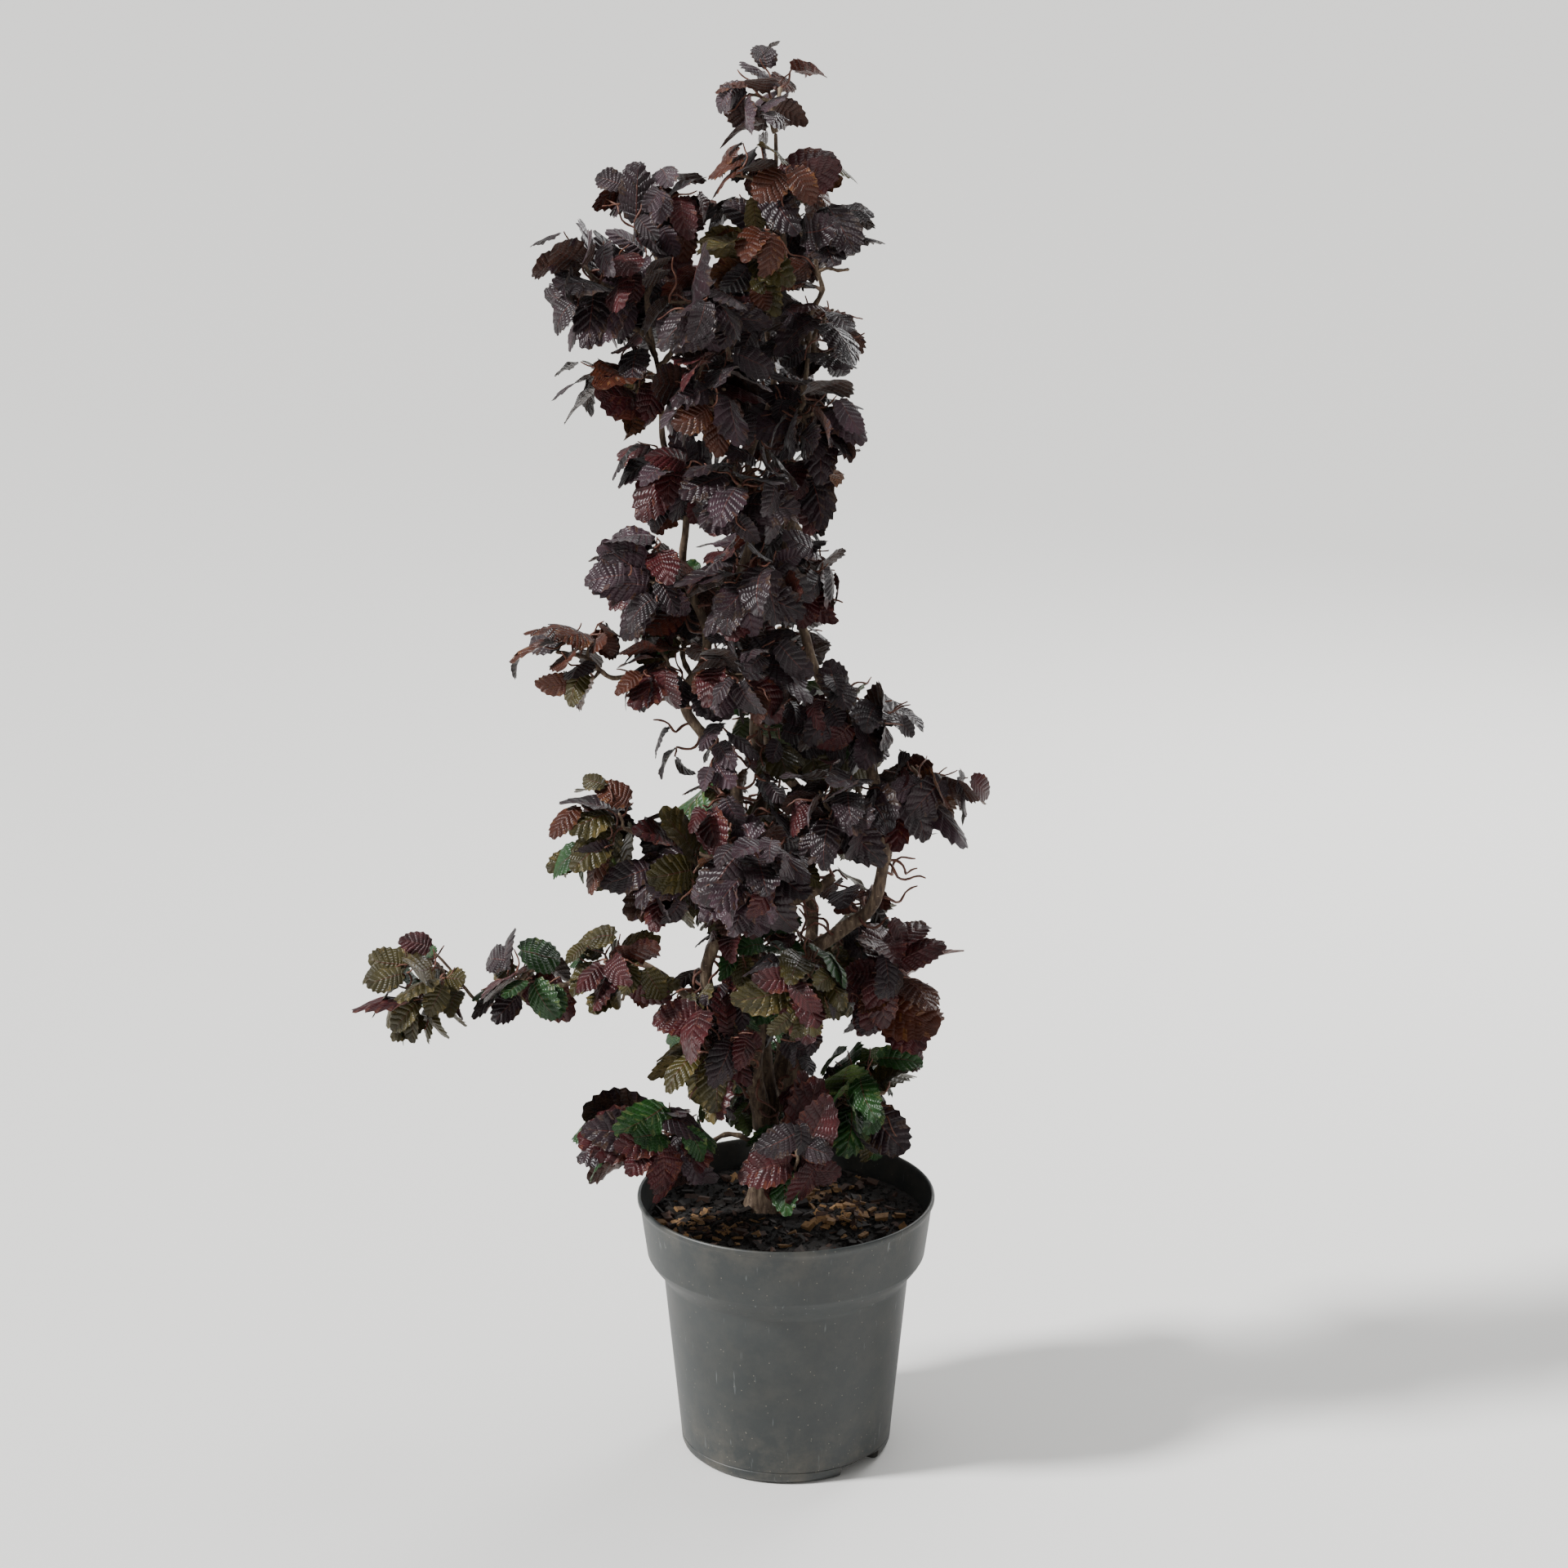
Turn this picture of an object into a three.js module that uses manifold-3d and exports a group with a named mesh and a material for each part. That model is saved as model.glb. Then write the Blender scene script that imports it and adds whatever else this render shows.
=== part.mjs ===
// A contorted purple-leaved hazel, a clump of twisted stems from one short trunk, in a round
// grey nursery pot filled with bark compost. Millimetres, +Z up. The origin is the middle of
// the pot's flat underside, the plant's best-known side faces -Y, and its long low branch
// points along -X.
import * as THREE from "three";
import { mergeVertices } from "three/addons/utils/BufferGeometryUtils.js";
import Module from "manifold-3d";

const wasm = await Module();
wasm.setup();

// The pot: outside radii and heights of its wall, from the rim down.
const potHeight = 254;
const rimRadius = 140;
const rimLip = 4;
const collarFootRadius = 131;
const collarFootHeight = 198;
const shoulderRadius = 116;
const shoulderHeight = 177;
const footRadius = 100;
const footRounding = 8;
const wall = 2.4;
const floorThickness = 3;
const potSides = 32;

// Drainage recesses in the pot's lower edge: where their middles are, seen from above and
// counted from the front (-Y) towards +X, how wide, how deep and how high they are.
const recessMiddles = [46, 226];
const recessSpread = 30;
const recessInnerRadius = 74;
const recessHeight = 12;

const soilHeight = 226;
const gap = 0.3;

// The limbs, foot first: the points each one bends through, its radius at foot and tip, and
// how far it winds round its way. A limb that starts inside an earlier one is cut back to
// stand just clear of it.
const limbTurn = 125;
const limbs = [
  {
    name: "trunk",
    route: [[-20, 31, soilHeight - 8], [-15, 26, 272], [-12, 24, 322]],
    radii: [15, 18],
    flare: 10,
    crest: 0.45,
    sides: 8,
    steps: 9,
  },
  {
    name: "stem_left",
    twist: 6,
    phase: 0.4,
    route: [
      [-22, 17, 312], [-29, -2, 400], [-26, -6, 500], [-38, -10, 626],
      [-74, -3, 700], [-87, 0, 738], [-77, 2, 776], [-92, 4, 889], [-120, 0, 1072],
    ],
    radii: [9.5, 3],
    sides: 5,
    steps: 38,
  },
  {
    name: "stem_middle",
    twist: 6.5,
    phase: 2.2,
    route: [
      [-8, 30, 312], [-30, 30, 420], [-38, 24, 545], [-22, 24, 695],
      [-38, 20, 847], [-20, 20, 995], [-6, 10, 1119], [-9, 0, 1238],
    ],
    radii: [9, 2.6],
    sides: 5,
    steps: 38,
  },
  {
    name: "stem_right_low",
    twist: 3,
    phase: 2.0,
    route: [[0, 20, 312], [12, 18, 400], [14, 12, 478], [46, 6, 512], [80, 0, 534], [89, 0, 578]],
    radii: [10.5, 7.5],
    sides: 7,
    steps: 16,
  },
  {
    name: "stem_right_high",
    twist: 5,
    phase: 1.0,
    route: [
      [89, 0, 578.5], [91, 0, 623], [72, 0, 672], [52, 2, 729],
      [18, 2, 775], [2, 4, 849], [6, 0, 951], [20, -8, 1060],
    ],
    radii: [7.3, 2.8],
    sides: 5,
    steps: 26,
  },
  {
    name: "stem_back",
    twist: 7,
    phase: 3.6,
    route: [
      [-14, 34, 312], [2, 56, 420], [26, 70, 560], [-14, 66, 700],
      [16, 68, 840], [-34, 66, 980], [-62, 52, 1090],
    ],
    radii: [8.5, 2.8],
    sides: 5,
    steps: 36,
  },
  {
    name: "bough_left",
    twist: 4,
    phase: 0,
    route: [
      [-29, -3, 398], [-87, -8, 452], [-150, -5, 483], [-186, 0, 470],
      [-240, 0, 452], [-276, 0, 440], [-300, 0, 466], [-324, 0, 492],
    ],
    radii: [5, 2],
    sides: 5,
    steps: 24,
  },
  {
    name: "bough_low_right",
    route: [[-37, 24, 530], [-12, 12, 537], [18, 6, 545], [44, 10, 562]],
    radii: [6.5, 4.5],
    sides: 6,
    steps: 8,
  },
  {
    name: "stub_left",
    route: [[-28, 0, 420], [-66, -2, 446], [-74, -2, 474], [-63, -4, 508]],
    radii: [7, 5.5],
    sides: 6,
    steps: 8,
  },
];

// The masses of foliage: the limb that carries each one, the middle and half sizes of its
// space, how many side twigs it has, its leaves' length and colour, and its seed.
const masses = [
  ["leader_tip", "stem_middle", [-8, 0, 1266], [56, 48, 54], 3, 54, "plum", 64],
  ["leader_upper", "stem_middle", [-12, -6, 1198], [76, 60, 46], 3, 60, "rust", 45],
  ["leader_right", "stem_right_high", [30, -8, 1140], [58, 60, 58], 3, 66, "dark", 21],
  ["leader_left", "stem_middle", [-32, -30, 1136], [54, 52, 50], 2, 60, "rust", 24],
  ["leader_back", "stem_middle", [-12, 60, 1148], [66, 56, 62], 3, 62, "dark", 59],
  ["upper_left_top", "stem_left", [-114, 4, 1172], [66, 54, 46], 3, 60, "maroon", 54],
  ["upper_left_out", "stem_left", [-170, -12, 1120], [58, 60, 66], 3, 68, "plum", 71],
  ["upper_left_back", "stem_left", [-126, 62, 1098], [62, 54, 66], 3, 64, "dark", 44],
  ["upper_front", "stem_left", [-74, -58, 1102], [60, 56, 56], 3, 66, "dark", 12],
  ["upper_back", "stem_back", [-50, 96, 1072], [60, 54, 66], 3, 64, "dark", 47],
  ["upper_right", "stem_right_high", [30, -4, 1066], [58, 60, 50], 3, 62, "dark", 37],
  ["left_flag", "stem_left", [-150, -16, 1024], [56, 56, 54], 3, 62, "rust", 75],
  ["heart_front", "stem_left", [-62, -66, 1024], [60, 56, 54], 3, 74, "dark", 75],
  ["heart_right", "stem_right_high", [20, -36, 1000], [58, 56, 52], 3, 66, "dark", 53],
  ["heart_back", "stem_back", [-22, 92, 985], [62, 56, 60], 3, 64, "dark", 15],
  ["neck_left", "stem_left", [-108, -4, 940], [54, 58, 54], 3, 60, "maroon", 13],
  ["neck_front", "stem_middle", [-38, -60, 940], [56, 54, 52], 3, 64, "dark", 22],
  ["neck_right", "stem_right_high", [28, -2, 932], [50, 56, 52], 3, 62, "maroon", 31],
  ["waist_front", "stem_middle", [-34, -62, 856], [58, 54, 52], 3, 64, "dark", 66],
  ["waist_right", "stem_right_high", [8, 4, 848], [50, 58, 54], 3, 58, "maroon", 15],
  ["waist_back", "stem_back", [-18, 88, 868], [62, 54, 64], 3, 62, "dark", 50],
  ["drape_left", "stem_left", [-128, -20, 850], [54, 52, 56], 3, 76, "plum", 38],
  ["drape_back", "stem_left", [-106, 62, 800], [54, 50, 60], 3, 64, "olive", 39],
  ["belt_front", "stem_middle", [-30, -58, 776], [60, 54, 50], 3, 60, "dark", 56],
  ["belt_back", "stem_back", [-6, 88, 768], [60, 54, 58], 3, 62, "dark", 38],
  ["spur_left", "stem_left", [-196, -4, 776], [60, 48, 46], 3, 58, "rust", 26],
  ["spur_near", "stem_left", [-122, -18, 760], [44, 46, 46], 2, 64, "plum", 11],
  ["shoulder", "stem_right_high", [66, -6, 724], [66, 64, 56], 3, 64, "dark", 49],
  ["shoulder_back", "stem_back", [38, 92, 674], [64, 54, 62], 3, 62, "olive", 73],
  ["point_right", "stem_right_high", [130, -8, 652], [60, 54, 58], 3, 66, "maroon", 63],
  ["inner_right", "stem_right_high", [44, -62, 646], [58, 54, 56], 3, 62, "dark", 72],
  ["shelf_left_out", "stem_left", [-176, -12, 612], [56, 52, 56], 3, 62, "olive", 20],
  ["shelf_left", "stem_left", [-110, -36, 590], [58, 56, 62], 3, 72, "dark", 47],
  ["shelf_front", "stem_left", [-34, -72, 590], [60, 56, 62], 3, 70, "plum", 63],
  ["shelf_back", "stem_back", [-54, 92, 590], [70, 56, 66], 3, 64, "olive", 25],
  ["low_right", "stem_right_low", [106, -12, 466], [58, 60, 66], 3, 68, "maroon", 52],
  ["low_right_back", "stem_back", [56, 86, 470], [66, 58, 70], 3, 66, "olive", 27],
  ["low_front", "stem_right_low", [10, -66, 484], [58, 54, 54], 3, 64, "green", 54],
  ["branch_tip", "bough_left", [-340, -4, 460], [54, 48, 54], 3, 64, "olive", 30],
  ["branch_middle", "bough_left", [-246, -6, 464], [58, 50, 50], 3, 58, "green", 45],
  ["branch_root", "bough_left", [-150, -12, 476], [60, 54, 52], 3, 58, "olive", 29],
  ["foot_left", "stem_left", [-74, -56, 416], [58, 56, 66], 3, 62, "dark", 43],
  ["foot_left_low", "trunk", [-132, -60, 336], [70, 58, 66], 3, 78, "plum", 35],
  ["foot_back", "stem_back", [-48, 82, 376], [72, 60, 72], 3, 66, "green", 29],
  ["foot_right", "stem_right_low", [82, -6, 356], [60, 64, 66], 3, 64, "dark", 11],
  ["foot_front", "trunk", [4, -70, 336], [54, 52, 66], 3, 66, "maroon", 20],
].map(([name, limb, middle, reach, twigs, leaf, tint, seed], index) => ({
  name,
  limb,
  middle: new THREE.Vector3(...middle),
  reach: new THREE.Vector3(...reach),
  twigs,
  leaf,
  tint,
  stemSeed: 101 + 37 * index,
  seed,
}));

// How the twigs grow. A joint is the short length of twig that a leaf or a side twig starts
// from.
const stemRadii = [2.8, 1.9];
const twigRadii = [1.8, 1.4];
const stemStep = 14;
const twigStep = 12;
const stemTwist = 6;
const twigTwist = 4.5;
const turnLength = 60;
const jointHalf = 1.6;
const twigShare = 0.44;
const stemTries = 160;
const widestDrift = 36;
const twigTries = 30;
const leafTries = 60;
const clearance = 0.8;

// A leaf: half widths, sag and keel of its blade at a few places, as shares of its length.
const leafSections = [
  { at: 0, half: 0.03, sag: 0, keel: 0.03 },
  { at: 0.36, half: 0.41, sag: 0, keel: 0.034 },
  { at: 0.75, half: 0.33, sag: 0.06, keel: 0.03 },
  { at: 1, half: 0, sag: 0.15, keel: 0 },
];
const leafShortest = 0.7;
const leafKeep = 2.6;
const leastLean = 0.45;
const leastStand = 1.5;
const leafRows = 7;
const leafColumns = [-1, -0.5, 0, 0.5, 1];

const colours = {
  pot: { color: 0x5d6466, roughness: 0.55 },
  soil: { color: 0x2b1d15, roughness: 1 },
  bark: { color: 0x6b5546, roughness: 0.85 },
  dark: { color: 0x2a181c, roughness: 0.6 },
  plum: { color: 0x4b3138, roughness: 0.55 },
  maroon: { color: 0x521f1f, roughness: 0.6 },
  rust: { color: 0x6b2f1c, roughness: 0.6 },
  olive: { color: 0x4a4424, roughness: 0.6 },
  green: { color: 0x2f4a26, roughness: 0.55 },
};

// Park and Miller's generator: one seed always gives one and the same twig.
function seeded(seed) {
  let state = seed;
  return () => {
    state = (state * 16807) % 2147483647;
    return state / 2147483647;
  };
}

// A solid from corner points and triangles that face outwards.
function solidOf(points, triangles) {
  return new wasm.Manifold(
    new wasm.Mesh({
      numProp: 3,
      vertProperties: new Float32Array(points.flatMap((p) => p.toArray())),
      triVerts: new Uint32Array(triangles.flat()),
    }),
  );
}

function solidOfGeometry(geometry) {
  const bare = geometry.clone();
  bare.deleteAttribute("normal");
  bare.deleteAttribute("uv");
  const merged = mergeVertices(bare, 1e-3);
  return new wasm.Manifold(
    new wasm.Mesh({
      numProp: 3,
      vertProperties: merged.attributes.position.array,
      triVerts: new Uint32Array(merged.index.array),
    }),
  );
}

function geometryOf(solid) {
  const mesh = solid.getMesh();
  const geometry = new THREE.BufferGeometry();
  const positions = new THREE.BufferAttribute(new Float32Array(mesh.vertProperties), 3);
  geometry.setAttribute("position", positions);
  geometry.setIndex(new THREE.BufferAttribute(new Uint32Array(mesh.triVerts), 1));
  geometry.computeVertexNormals();
  return geometry;
}

function namedMesh(name, solid, colour) {
  const mesh = new THREE.Mesh(
    geometryOf(solid),
    new THREE.MeshStandardMaterial({ metalness: 0, ...colours[colour] }),
  );
  mesh.name = name;
  return mesh;
}

function largestPiece(solid) {
  return solid.decompose().reduce((a, b) => (b.volume() > a.volume() ? b : a));
}

// Joins rings of points, all with the same number of points, into one closed body.
function loft(rings) {
  const count = rings[0].length;
  const last = (rings.length - 1) * count;
  const triangles = [];
  for (let i = 1; i < count - 1; i++) {
    triangles.push([0, i + 1, i]);
    triangles.push([last, last + i, last + i + 1]);
  }
  for (let low = 0; low < last; low += count) {
    for (let i = 0; i < count; i++) {
      const next = (i + 1) % count;
      triangles.push([low + i, low + next, low + count + next]);
      triangles.push([low + i, low + count + next, low + count + i]);
    }
  }
  return solidOf(rings.flat(), triangles);
}

// A tapering round limb along a line of points.
function tube(points, radii, sides) {
  let across = new THREE.Vector3(1, 0, 0);
  const rings = points.map((point, i) => {
    const before = points[Math.max(i - 1, 0)];
    const after = points[Math.min(i + 1, points.length - 1)];
    const along = after.clone().sub(before).normalize();
    across = across.clone().addScaledVector(along, -across.dot(along)).normalize();
    const other = along.clone().cross(across);
    return Array.from({ length: sides }, (_, k) => {
      const angle = (2 * Math.PI * k) / sides;
      return point
        .clone()
        .addScaledVector(across, radii[i] * Math.cos(angle))
        .addScaledVector(other, radii[i] * Math.sin(angle));
    });
  });
  return loft(rings);
}

// A limb grown by the gap on every side, to cut what stands against it.
function swollenTube({ points, radii, sides }) {
  const longer = points.map((point) => point.clone());
  const push = (end, inner) => {
    const outward = points.at(end).clone().sub(points.at(inner)).normalize();
    longer.at(end).addScaledVector(outward, gap);
  };
  push(0, 1);
  push(-1, -2);
  const wider = radii.map((radius) => radius + gap / Math.cos(Math.PI / sides));
  return tube(longer, wider, sides);
}

// A limb follows its route, and winds round it by its own twist.
function sampleLimb(limb) {
  const curve = new THREE.CatmullRomCurve3(limb.route.map((p) => new THREE.Vector3(...p)));
  const length = curve.getLength();
  const points = curve.getSpacedPoints(limb.steps).map((point, i) => {
    const share = i / limb.steps;
    const swing = (limb.twist ?? 0) * Math.min(1, 6 * share, 6 * (1 - share));
    const angle = (2 * Math.PI * share * length) / limbTurn + (limb.phase ?? 0);
    const along = curve.getTangentAt(share);
    const across = new THREE.Vector3(0, 1, 0).cross(along).normalize();
    const other = along.cross(across);
    return point
      .addScaledVector(across, swing * Math.cos(angle))
      .addScaledVector(other, swing * Math.sin(angle));
  });
  const [foot, tip] = limb.radii;
  const radii = points.map((_, i) => {
    const share = i / limb.steps;
    const spread = (limb.flare ?? 0) * Math.exp(-share * 7);
    const narrowing = 1 - (limb.crest ?? 0) * share ** 6;
    return (foot + (tip - foot) * share + spread) * narrowing;
  });
  return { ...limb, points, radii };
}

// Points along a limb, a few millimetres apart, for telling what comes near it.
function fineSpots(points, radii, spacing) {
  const spots = [];
  for (let i = 0; i < points.length - 1; i++) {
    const pieces = Math.max(1, Math.ceil(points[i].distanceTo(points[i + 1]) / spacing));
    for (let k = 0; k < pieces; k++) {
      const share = k / pieces;
      spots.push({
        at: points[i].clone().lerp(points[i + 1], share),
        radius: radii[i] + (radii[i + 1] - radii[i]) * share,
      });
    }
  }
  spots.push({ at: points.at(-1), radius: radii.at(-1) });
  return spots;
}

// A twig between two points that winds round the straight line between them.
function windingLine(from, to, twist, step, fewest, phase) {
  const span = to.clone().sub(from);
  const length = span.length();
  const along = span.clone().normalize();
  const across = new THREE.Vector3(0, 0, 1).cross(along);
  if (across.length() < 0.2) across.set(1, 0, 0);
  across.addScaledVector(along, -across.dot(along)).normalize();
  const other = along.clone().cross(across);
  const steps = Math.max(fewest, Math.round(length / step));
  return Array.from({ length: steps + 1 }, (_, i) => {
    const share = i / steps;
    const angle = phase + (2 * Math.PI * share * length) / turnLength;
    const swing = twist * Math.sin(Math.PI * Math.min(1, share * 1.15) * 0.87);
    return from
      .clone()
      .addScaledVector(span, share)
      .addScaledVector(across, swing * Math.cos(angle))
      .addScaledVector(other, swing * Math.sin(angle));
  });
}

function taper(points, [foot, tip]) {
  return points.map((_, i) => foot + ((tip - foot) * i) / (points.length - 1));
}

// The flat sides of a mass's space towards its neighbours: the nearer mass, for its size, has
// the point.
function findWalls(mass) {
  const size = ({ reach }) => (reach.x + reach.y + reach.z) / 3;
  mass.walls = masses
    .filter((other) => other !== mass)
    .map((other) => {
      const inward = mass.middle.clone().sub(other.middle);
      const apart = inward.length();
      const balance = size(mass) ** 2 - size(other) ** 2;
      const lengths = other.middle.lengthSq() - mass.middle.lengthSq();
      return { inward: inward.divideScalar(apart), offset: (lengths + balance) / (2 * apart) };
    });
}

// How deep a point lies inside a mass's space. Negative is outside.
function roomAround(point, mass) {
  const scaled = point.clone().sub(mass.middle).divide(mass.reach);
  const least = Math.min(mass.reach.x, mass.reach.y, mass.reach.z);
  const aboveRim = point.z - potHeight - 5;
  const aboveSoil = point.z - soilHeight - 8;
  const overSoil = Math.hypot(point.x, point.y) < rimRadius - 20;
  return Math.min(
    (1 - scaled.length()) * least,
    overSoil ? aboveSoil : aboveRim,
    ...mass.walls.map(({ inward, offset }) => inward.dot(point) + offset),
  );
}

// A skin that grows: three-cornered rings, joined by faces as it goes. A face is three corner
// numbers, anticlockwise from outside.
function addRing(skin, corners) {
  return corners.map((corner) => skin.points.push(corner) - 1);
}

function addFace(skin, ...corners) {
  const face = { corners };
  skin.faces.push(face);
  return face;
}

function takeFace(skin, face) {
  skin.faces.splice(skin.faces.indexOf(face), 1);
}

// Joins two rings, each side split along the diagonal that bulges outwards.
function bridge(skin, low, high) {
  return [0, 1, 2].flatMap((i) => {
    const next = (i + 1) % 3;
    const corners = [low[i], low[next], high[next], high[i]];
    const [a, b, c, d] = corners.map((corner) => skin.points[corner]);
    const normal = b.clone().sub(a).cross(c.clone().sub(a));
    const rising = normal.dot(d.clone().sub(a)) > 0;
    const split = rising ? [[0, 1, 3], [1, 2, 3]] : [[0, 1, 2], [0, 2, 3]];
    return split.map((three) => addFace(skin, ...three.map((k) => corners[k])));
  });
}

function closeRing(skin, ring, tip) {
  for (let i = 0; i < 3; i++) addFace(skin, ring[i], ring[(i + 1) % 3], tip);
}

function faceNormal(skin, corners) {
  const [a, b, c] = corners.map((corner) => skin.points[corner]);
  return b.clone().sub(a).cross(c.clone().sub(a)).normalize();
}

function faceMiddle(skin, corners) {
  const sum = new THREE.Vector3();
  for (const corner of corners) sum.add(skin.points[corner]);
  return sum.divideScalar(3);
}

// Three corners round a twig, the first of them turned as near as can be to a given way.
function ringRound(point, along, towards, radius) {
  const across = towards.clone().addScaledVector(along, -towards.dot(along)).normalize();
  const other = along.clone().cross(across);
  return [0, 1, 2].map((k) => {
    const angle = (2 * Math.PI * k) / 3;
    return point
      .clone()
      .addScaledVector(across, radius * Math.cos(angle))
      .addScaledVector(other, radius * Math.sin(angle));
  });
}

// Lays a three-sided twig on the skin, from an open base along its points. Its last inner
// points are joints, each a pair of rings.
function layTwig(skin, base, points, radii, jointCount) {
  let towards = skin.points[base[0]].clone().sub(faceMiddle(skin, base));
  let ring = base;
  const joints = [];
  for (let i = 1; i < points.length; i++) {
    const atEnd = i === points.length - 1;
    const along = points[atEnd ? i : i + 1].clone().sub(points[i - 1]).normalize();
    const lay = (shift) => {
      const middle = points[i].clone().addScaledVector(along, shift);
      const corners = ringRound(middle, along, towards, radii[i]);
      towards = corners[0].clone().sub(middle);
      const next = addRing(skin, corners);
      const faces = bridge(skin, ring, next);
      ring = next;
      return faces;
    };
    if (atEnd || i < points.length - 1 - jointCount) {
      lay(0);
      continue;
    }
    lay(-jointHalf);
    joints.push({ at: points[i], faces: lay(jointHalf).map((face, k) => ({ face, side: k >> 1 })) });
  }
  return { points, joints, end: ring };
}

// A leaf's shape in its own frame: x along it, y across it and z out of its upper face.
function leafPoint(leaf, x, y, z) {
  return leaf.root
    .clone()
    .addScaledVector(leaf.along, x)
    .addScaledVector(leaf.across, y)
    .addScaledVector(leaf.face, z);
}

function leafSectionAt(share) {
  let i = 1;
  while (i < leafSections.length - 1 && leafSections[i].at < share) i++;
  const a = leafSections[i - 1];
  const b = leafSections[i];
  const part = Math.min(1, Math.max(0, (share - a.at) / (b.at - a.at)));
  return { half: a.half + (b.half - a.half) * part, sag: a.sag + (b.sag - a.sag) * part };
}

function layLeaf(skin, leaf) {
  let ring = leaf.base;
  for (const { at, half, sag, keel } of leafSections.slice(1, -1)) {
    const x = at * leaf.length;
    const y = half * leaf.length;
    const z = -sag * leaf.length;
    const next = addRing(skin, [
      leafPoint(leaf, x, y, z),
      leafPoint(leaf, x, -y, z),
      leafPoint(leaf, x, 0, z - keel * leaf.length),
    ]);
    bridge(skin, ring, next);
    ring = next;
  }
  const tip = leafSections.at(-1);
  skin.points.push(leafPoint(leaf, tip.at * leaf.length, 0, -tip.sag * leaf.length));
  closeRing(skin, ring, skin.points.length - 1);
}

// Points all over a leaf, to test.
function leafSpots(leaf) {
  const spots = [];
  for (let row = 1; row <= leafRows; row++) {
    const share = row / leafRows;
    const { half, sag } = leafSectionAt(share);
    for (const column of row < leafRows ? leafColumns : [0]) {
      const y = column * half * leaf.length;
      spots.push(leafPoint(leaf, share * leaf.length, y, -sag * leaf.length));
    }
  }
  return spots;
}

// How far a point is from a leaf's blade, or Infinity where it is beside its outline.
function heightOverLeaf(leaf, point, margin) {
  const local = point.clone().sub(leaf.root);
  const x = local.dot(leaf.along);
  if (x < -margin || x > leaf.length + margin) return Infinity;
  const { half, sag } = leafSectionAt(x / leaf.length);
  if (Math.abs(local.dot(leaf.across)) > half * leaf.length + margin) return Infinity;
  return Math.abs(local.dot(leaf.face) + sag * leaf.length);
}

// The greatest length up to a wanted one that keeps a leaf inside its mass's space.
function lengthWithRoom(leaf, wanted, mass) {
  for (let length = wanted; length > leafShortest * wanted; length *= 0.92) {
    leaf.length = length;
    if (leafSpots(leaf).every((spot) => roomAround(spot, mass) > clearance)) return length;
  }
  return 0;
}

function leafIsFree(leaf, leaves, woods) {
  const touchesWood = woods.some((spot) => {
    const away = spot.at.distanceTo(leaf.root);
    if (away > leaf.length * 1.2 || (spot.own && away < 6)) return false;
    return heightOverLeaf(leaf, spot.at, spot.radius + 1) < spot.radius + 1.8;
  });
  if (touchesWood) return false;
  const spots = leafSpots(leaf);
  return !leaves.some(
    (other) =>
      spots.some((spot) => heightOverLeaf(other, spot, 1) < leafKeep) ||
      leafSpots(other).some((spot) => heightOverLeaf(leaf, spot, 1) < leafKeep),
  );
}

function nearestFirst(spots, point) {
  const away = (spot) => spot.at.distanceToSquared(point);
  return [...spots].sort((a, b) => away(a) - away(b));
}

function touches(spot, other, margin) {
  return spot.at.distanceTo(other.at) < spot.radius + other.radius + margin;
}

// The main twig of a mass, from inside its limb to just past the middle of its space. It sets
// out as near as it can to the foot of the mass without touching what is already there.
function findStem(mass, limbSpots, otherSpots) {
  const random = seeded(mass.stemSeed);
  const low = mass.middle.clone();
  low.z -= 0.55 * mass.reach.z;
  const feet = nearestFirst(limbSpots, low);
  for (let attempt = 0; attempt < stemTries; attempt++) {
    const foot = feet[Math.min(attempt >> 1, feet.length - 1)];
    const drift = new THREE.Vector3(random() - 0.5, random() - 0.5, random() - 0.5);
    const end = mass.middle
      .clone()
      .addScaledVector(mass.middle.clone().sub(foot.at).normalize(), 10)
      .add(drift.multiplyScalar(Math.min(attempt, widestDrift)));
    const points = windingLine(foot.at, end, stemTwist, stemStep, 4, 2 * Math.PI * random());
    const spots = fineSpots(points, taper(points, stemRadii), 4);
    const leftLimb = (spot) => spot.at.distanceTo(foot.at) > foot.radius + 14;
    const blocked =
      spots.some((spot) => otherSpots.some((other) => touches(spot, other, 2))) ||
      spots.filter(leftLimb).some((spot) => limbSpots.some((other) => touches(spot, other, 1)));
    if (!blocked) return points;
  }
  throw new Error("no clear way for the stem of " + mass.name);
}

// How far it is from a place inside a mass's rounded outline to that outline.
function wayOut(mass, from, direction) {
  const p = from.clone().sub(mass.middle).divide(mass.reach);
  const d = direction.clone().divide(mass.reach);
  const a = d.dot(d);
  const b = p.dot(d);
  const root = b * b - a * (p.dot(p) - 1);
  return root < 0 ? 0 : (Math.sqrt(root) - b) / a;
}

function randomWay(random) {
  const z = 2 * random() - 1;
  const around = 2 * Math.PI * random();
  const flat = Math.sqrt(1 - z * z);
  return new THREE.Vector3(flat * Math.cos(around), flat * Math.sin(around), z);
}

// The face of a joint that looks most nearly one way, if it is one of a side still free.
function bestFace(skin, joint, way) {
  const scored = joint.faces
    .filter(({ side }) => side !== joint.used)
    .map(({ face, side }) => ({ face, side, score: faceNormal(skin, face.corners).dot(way) }));
  return scored.reduce((a, b) => (b.score > a.score ? b : a));
}

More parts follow.
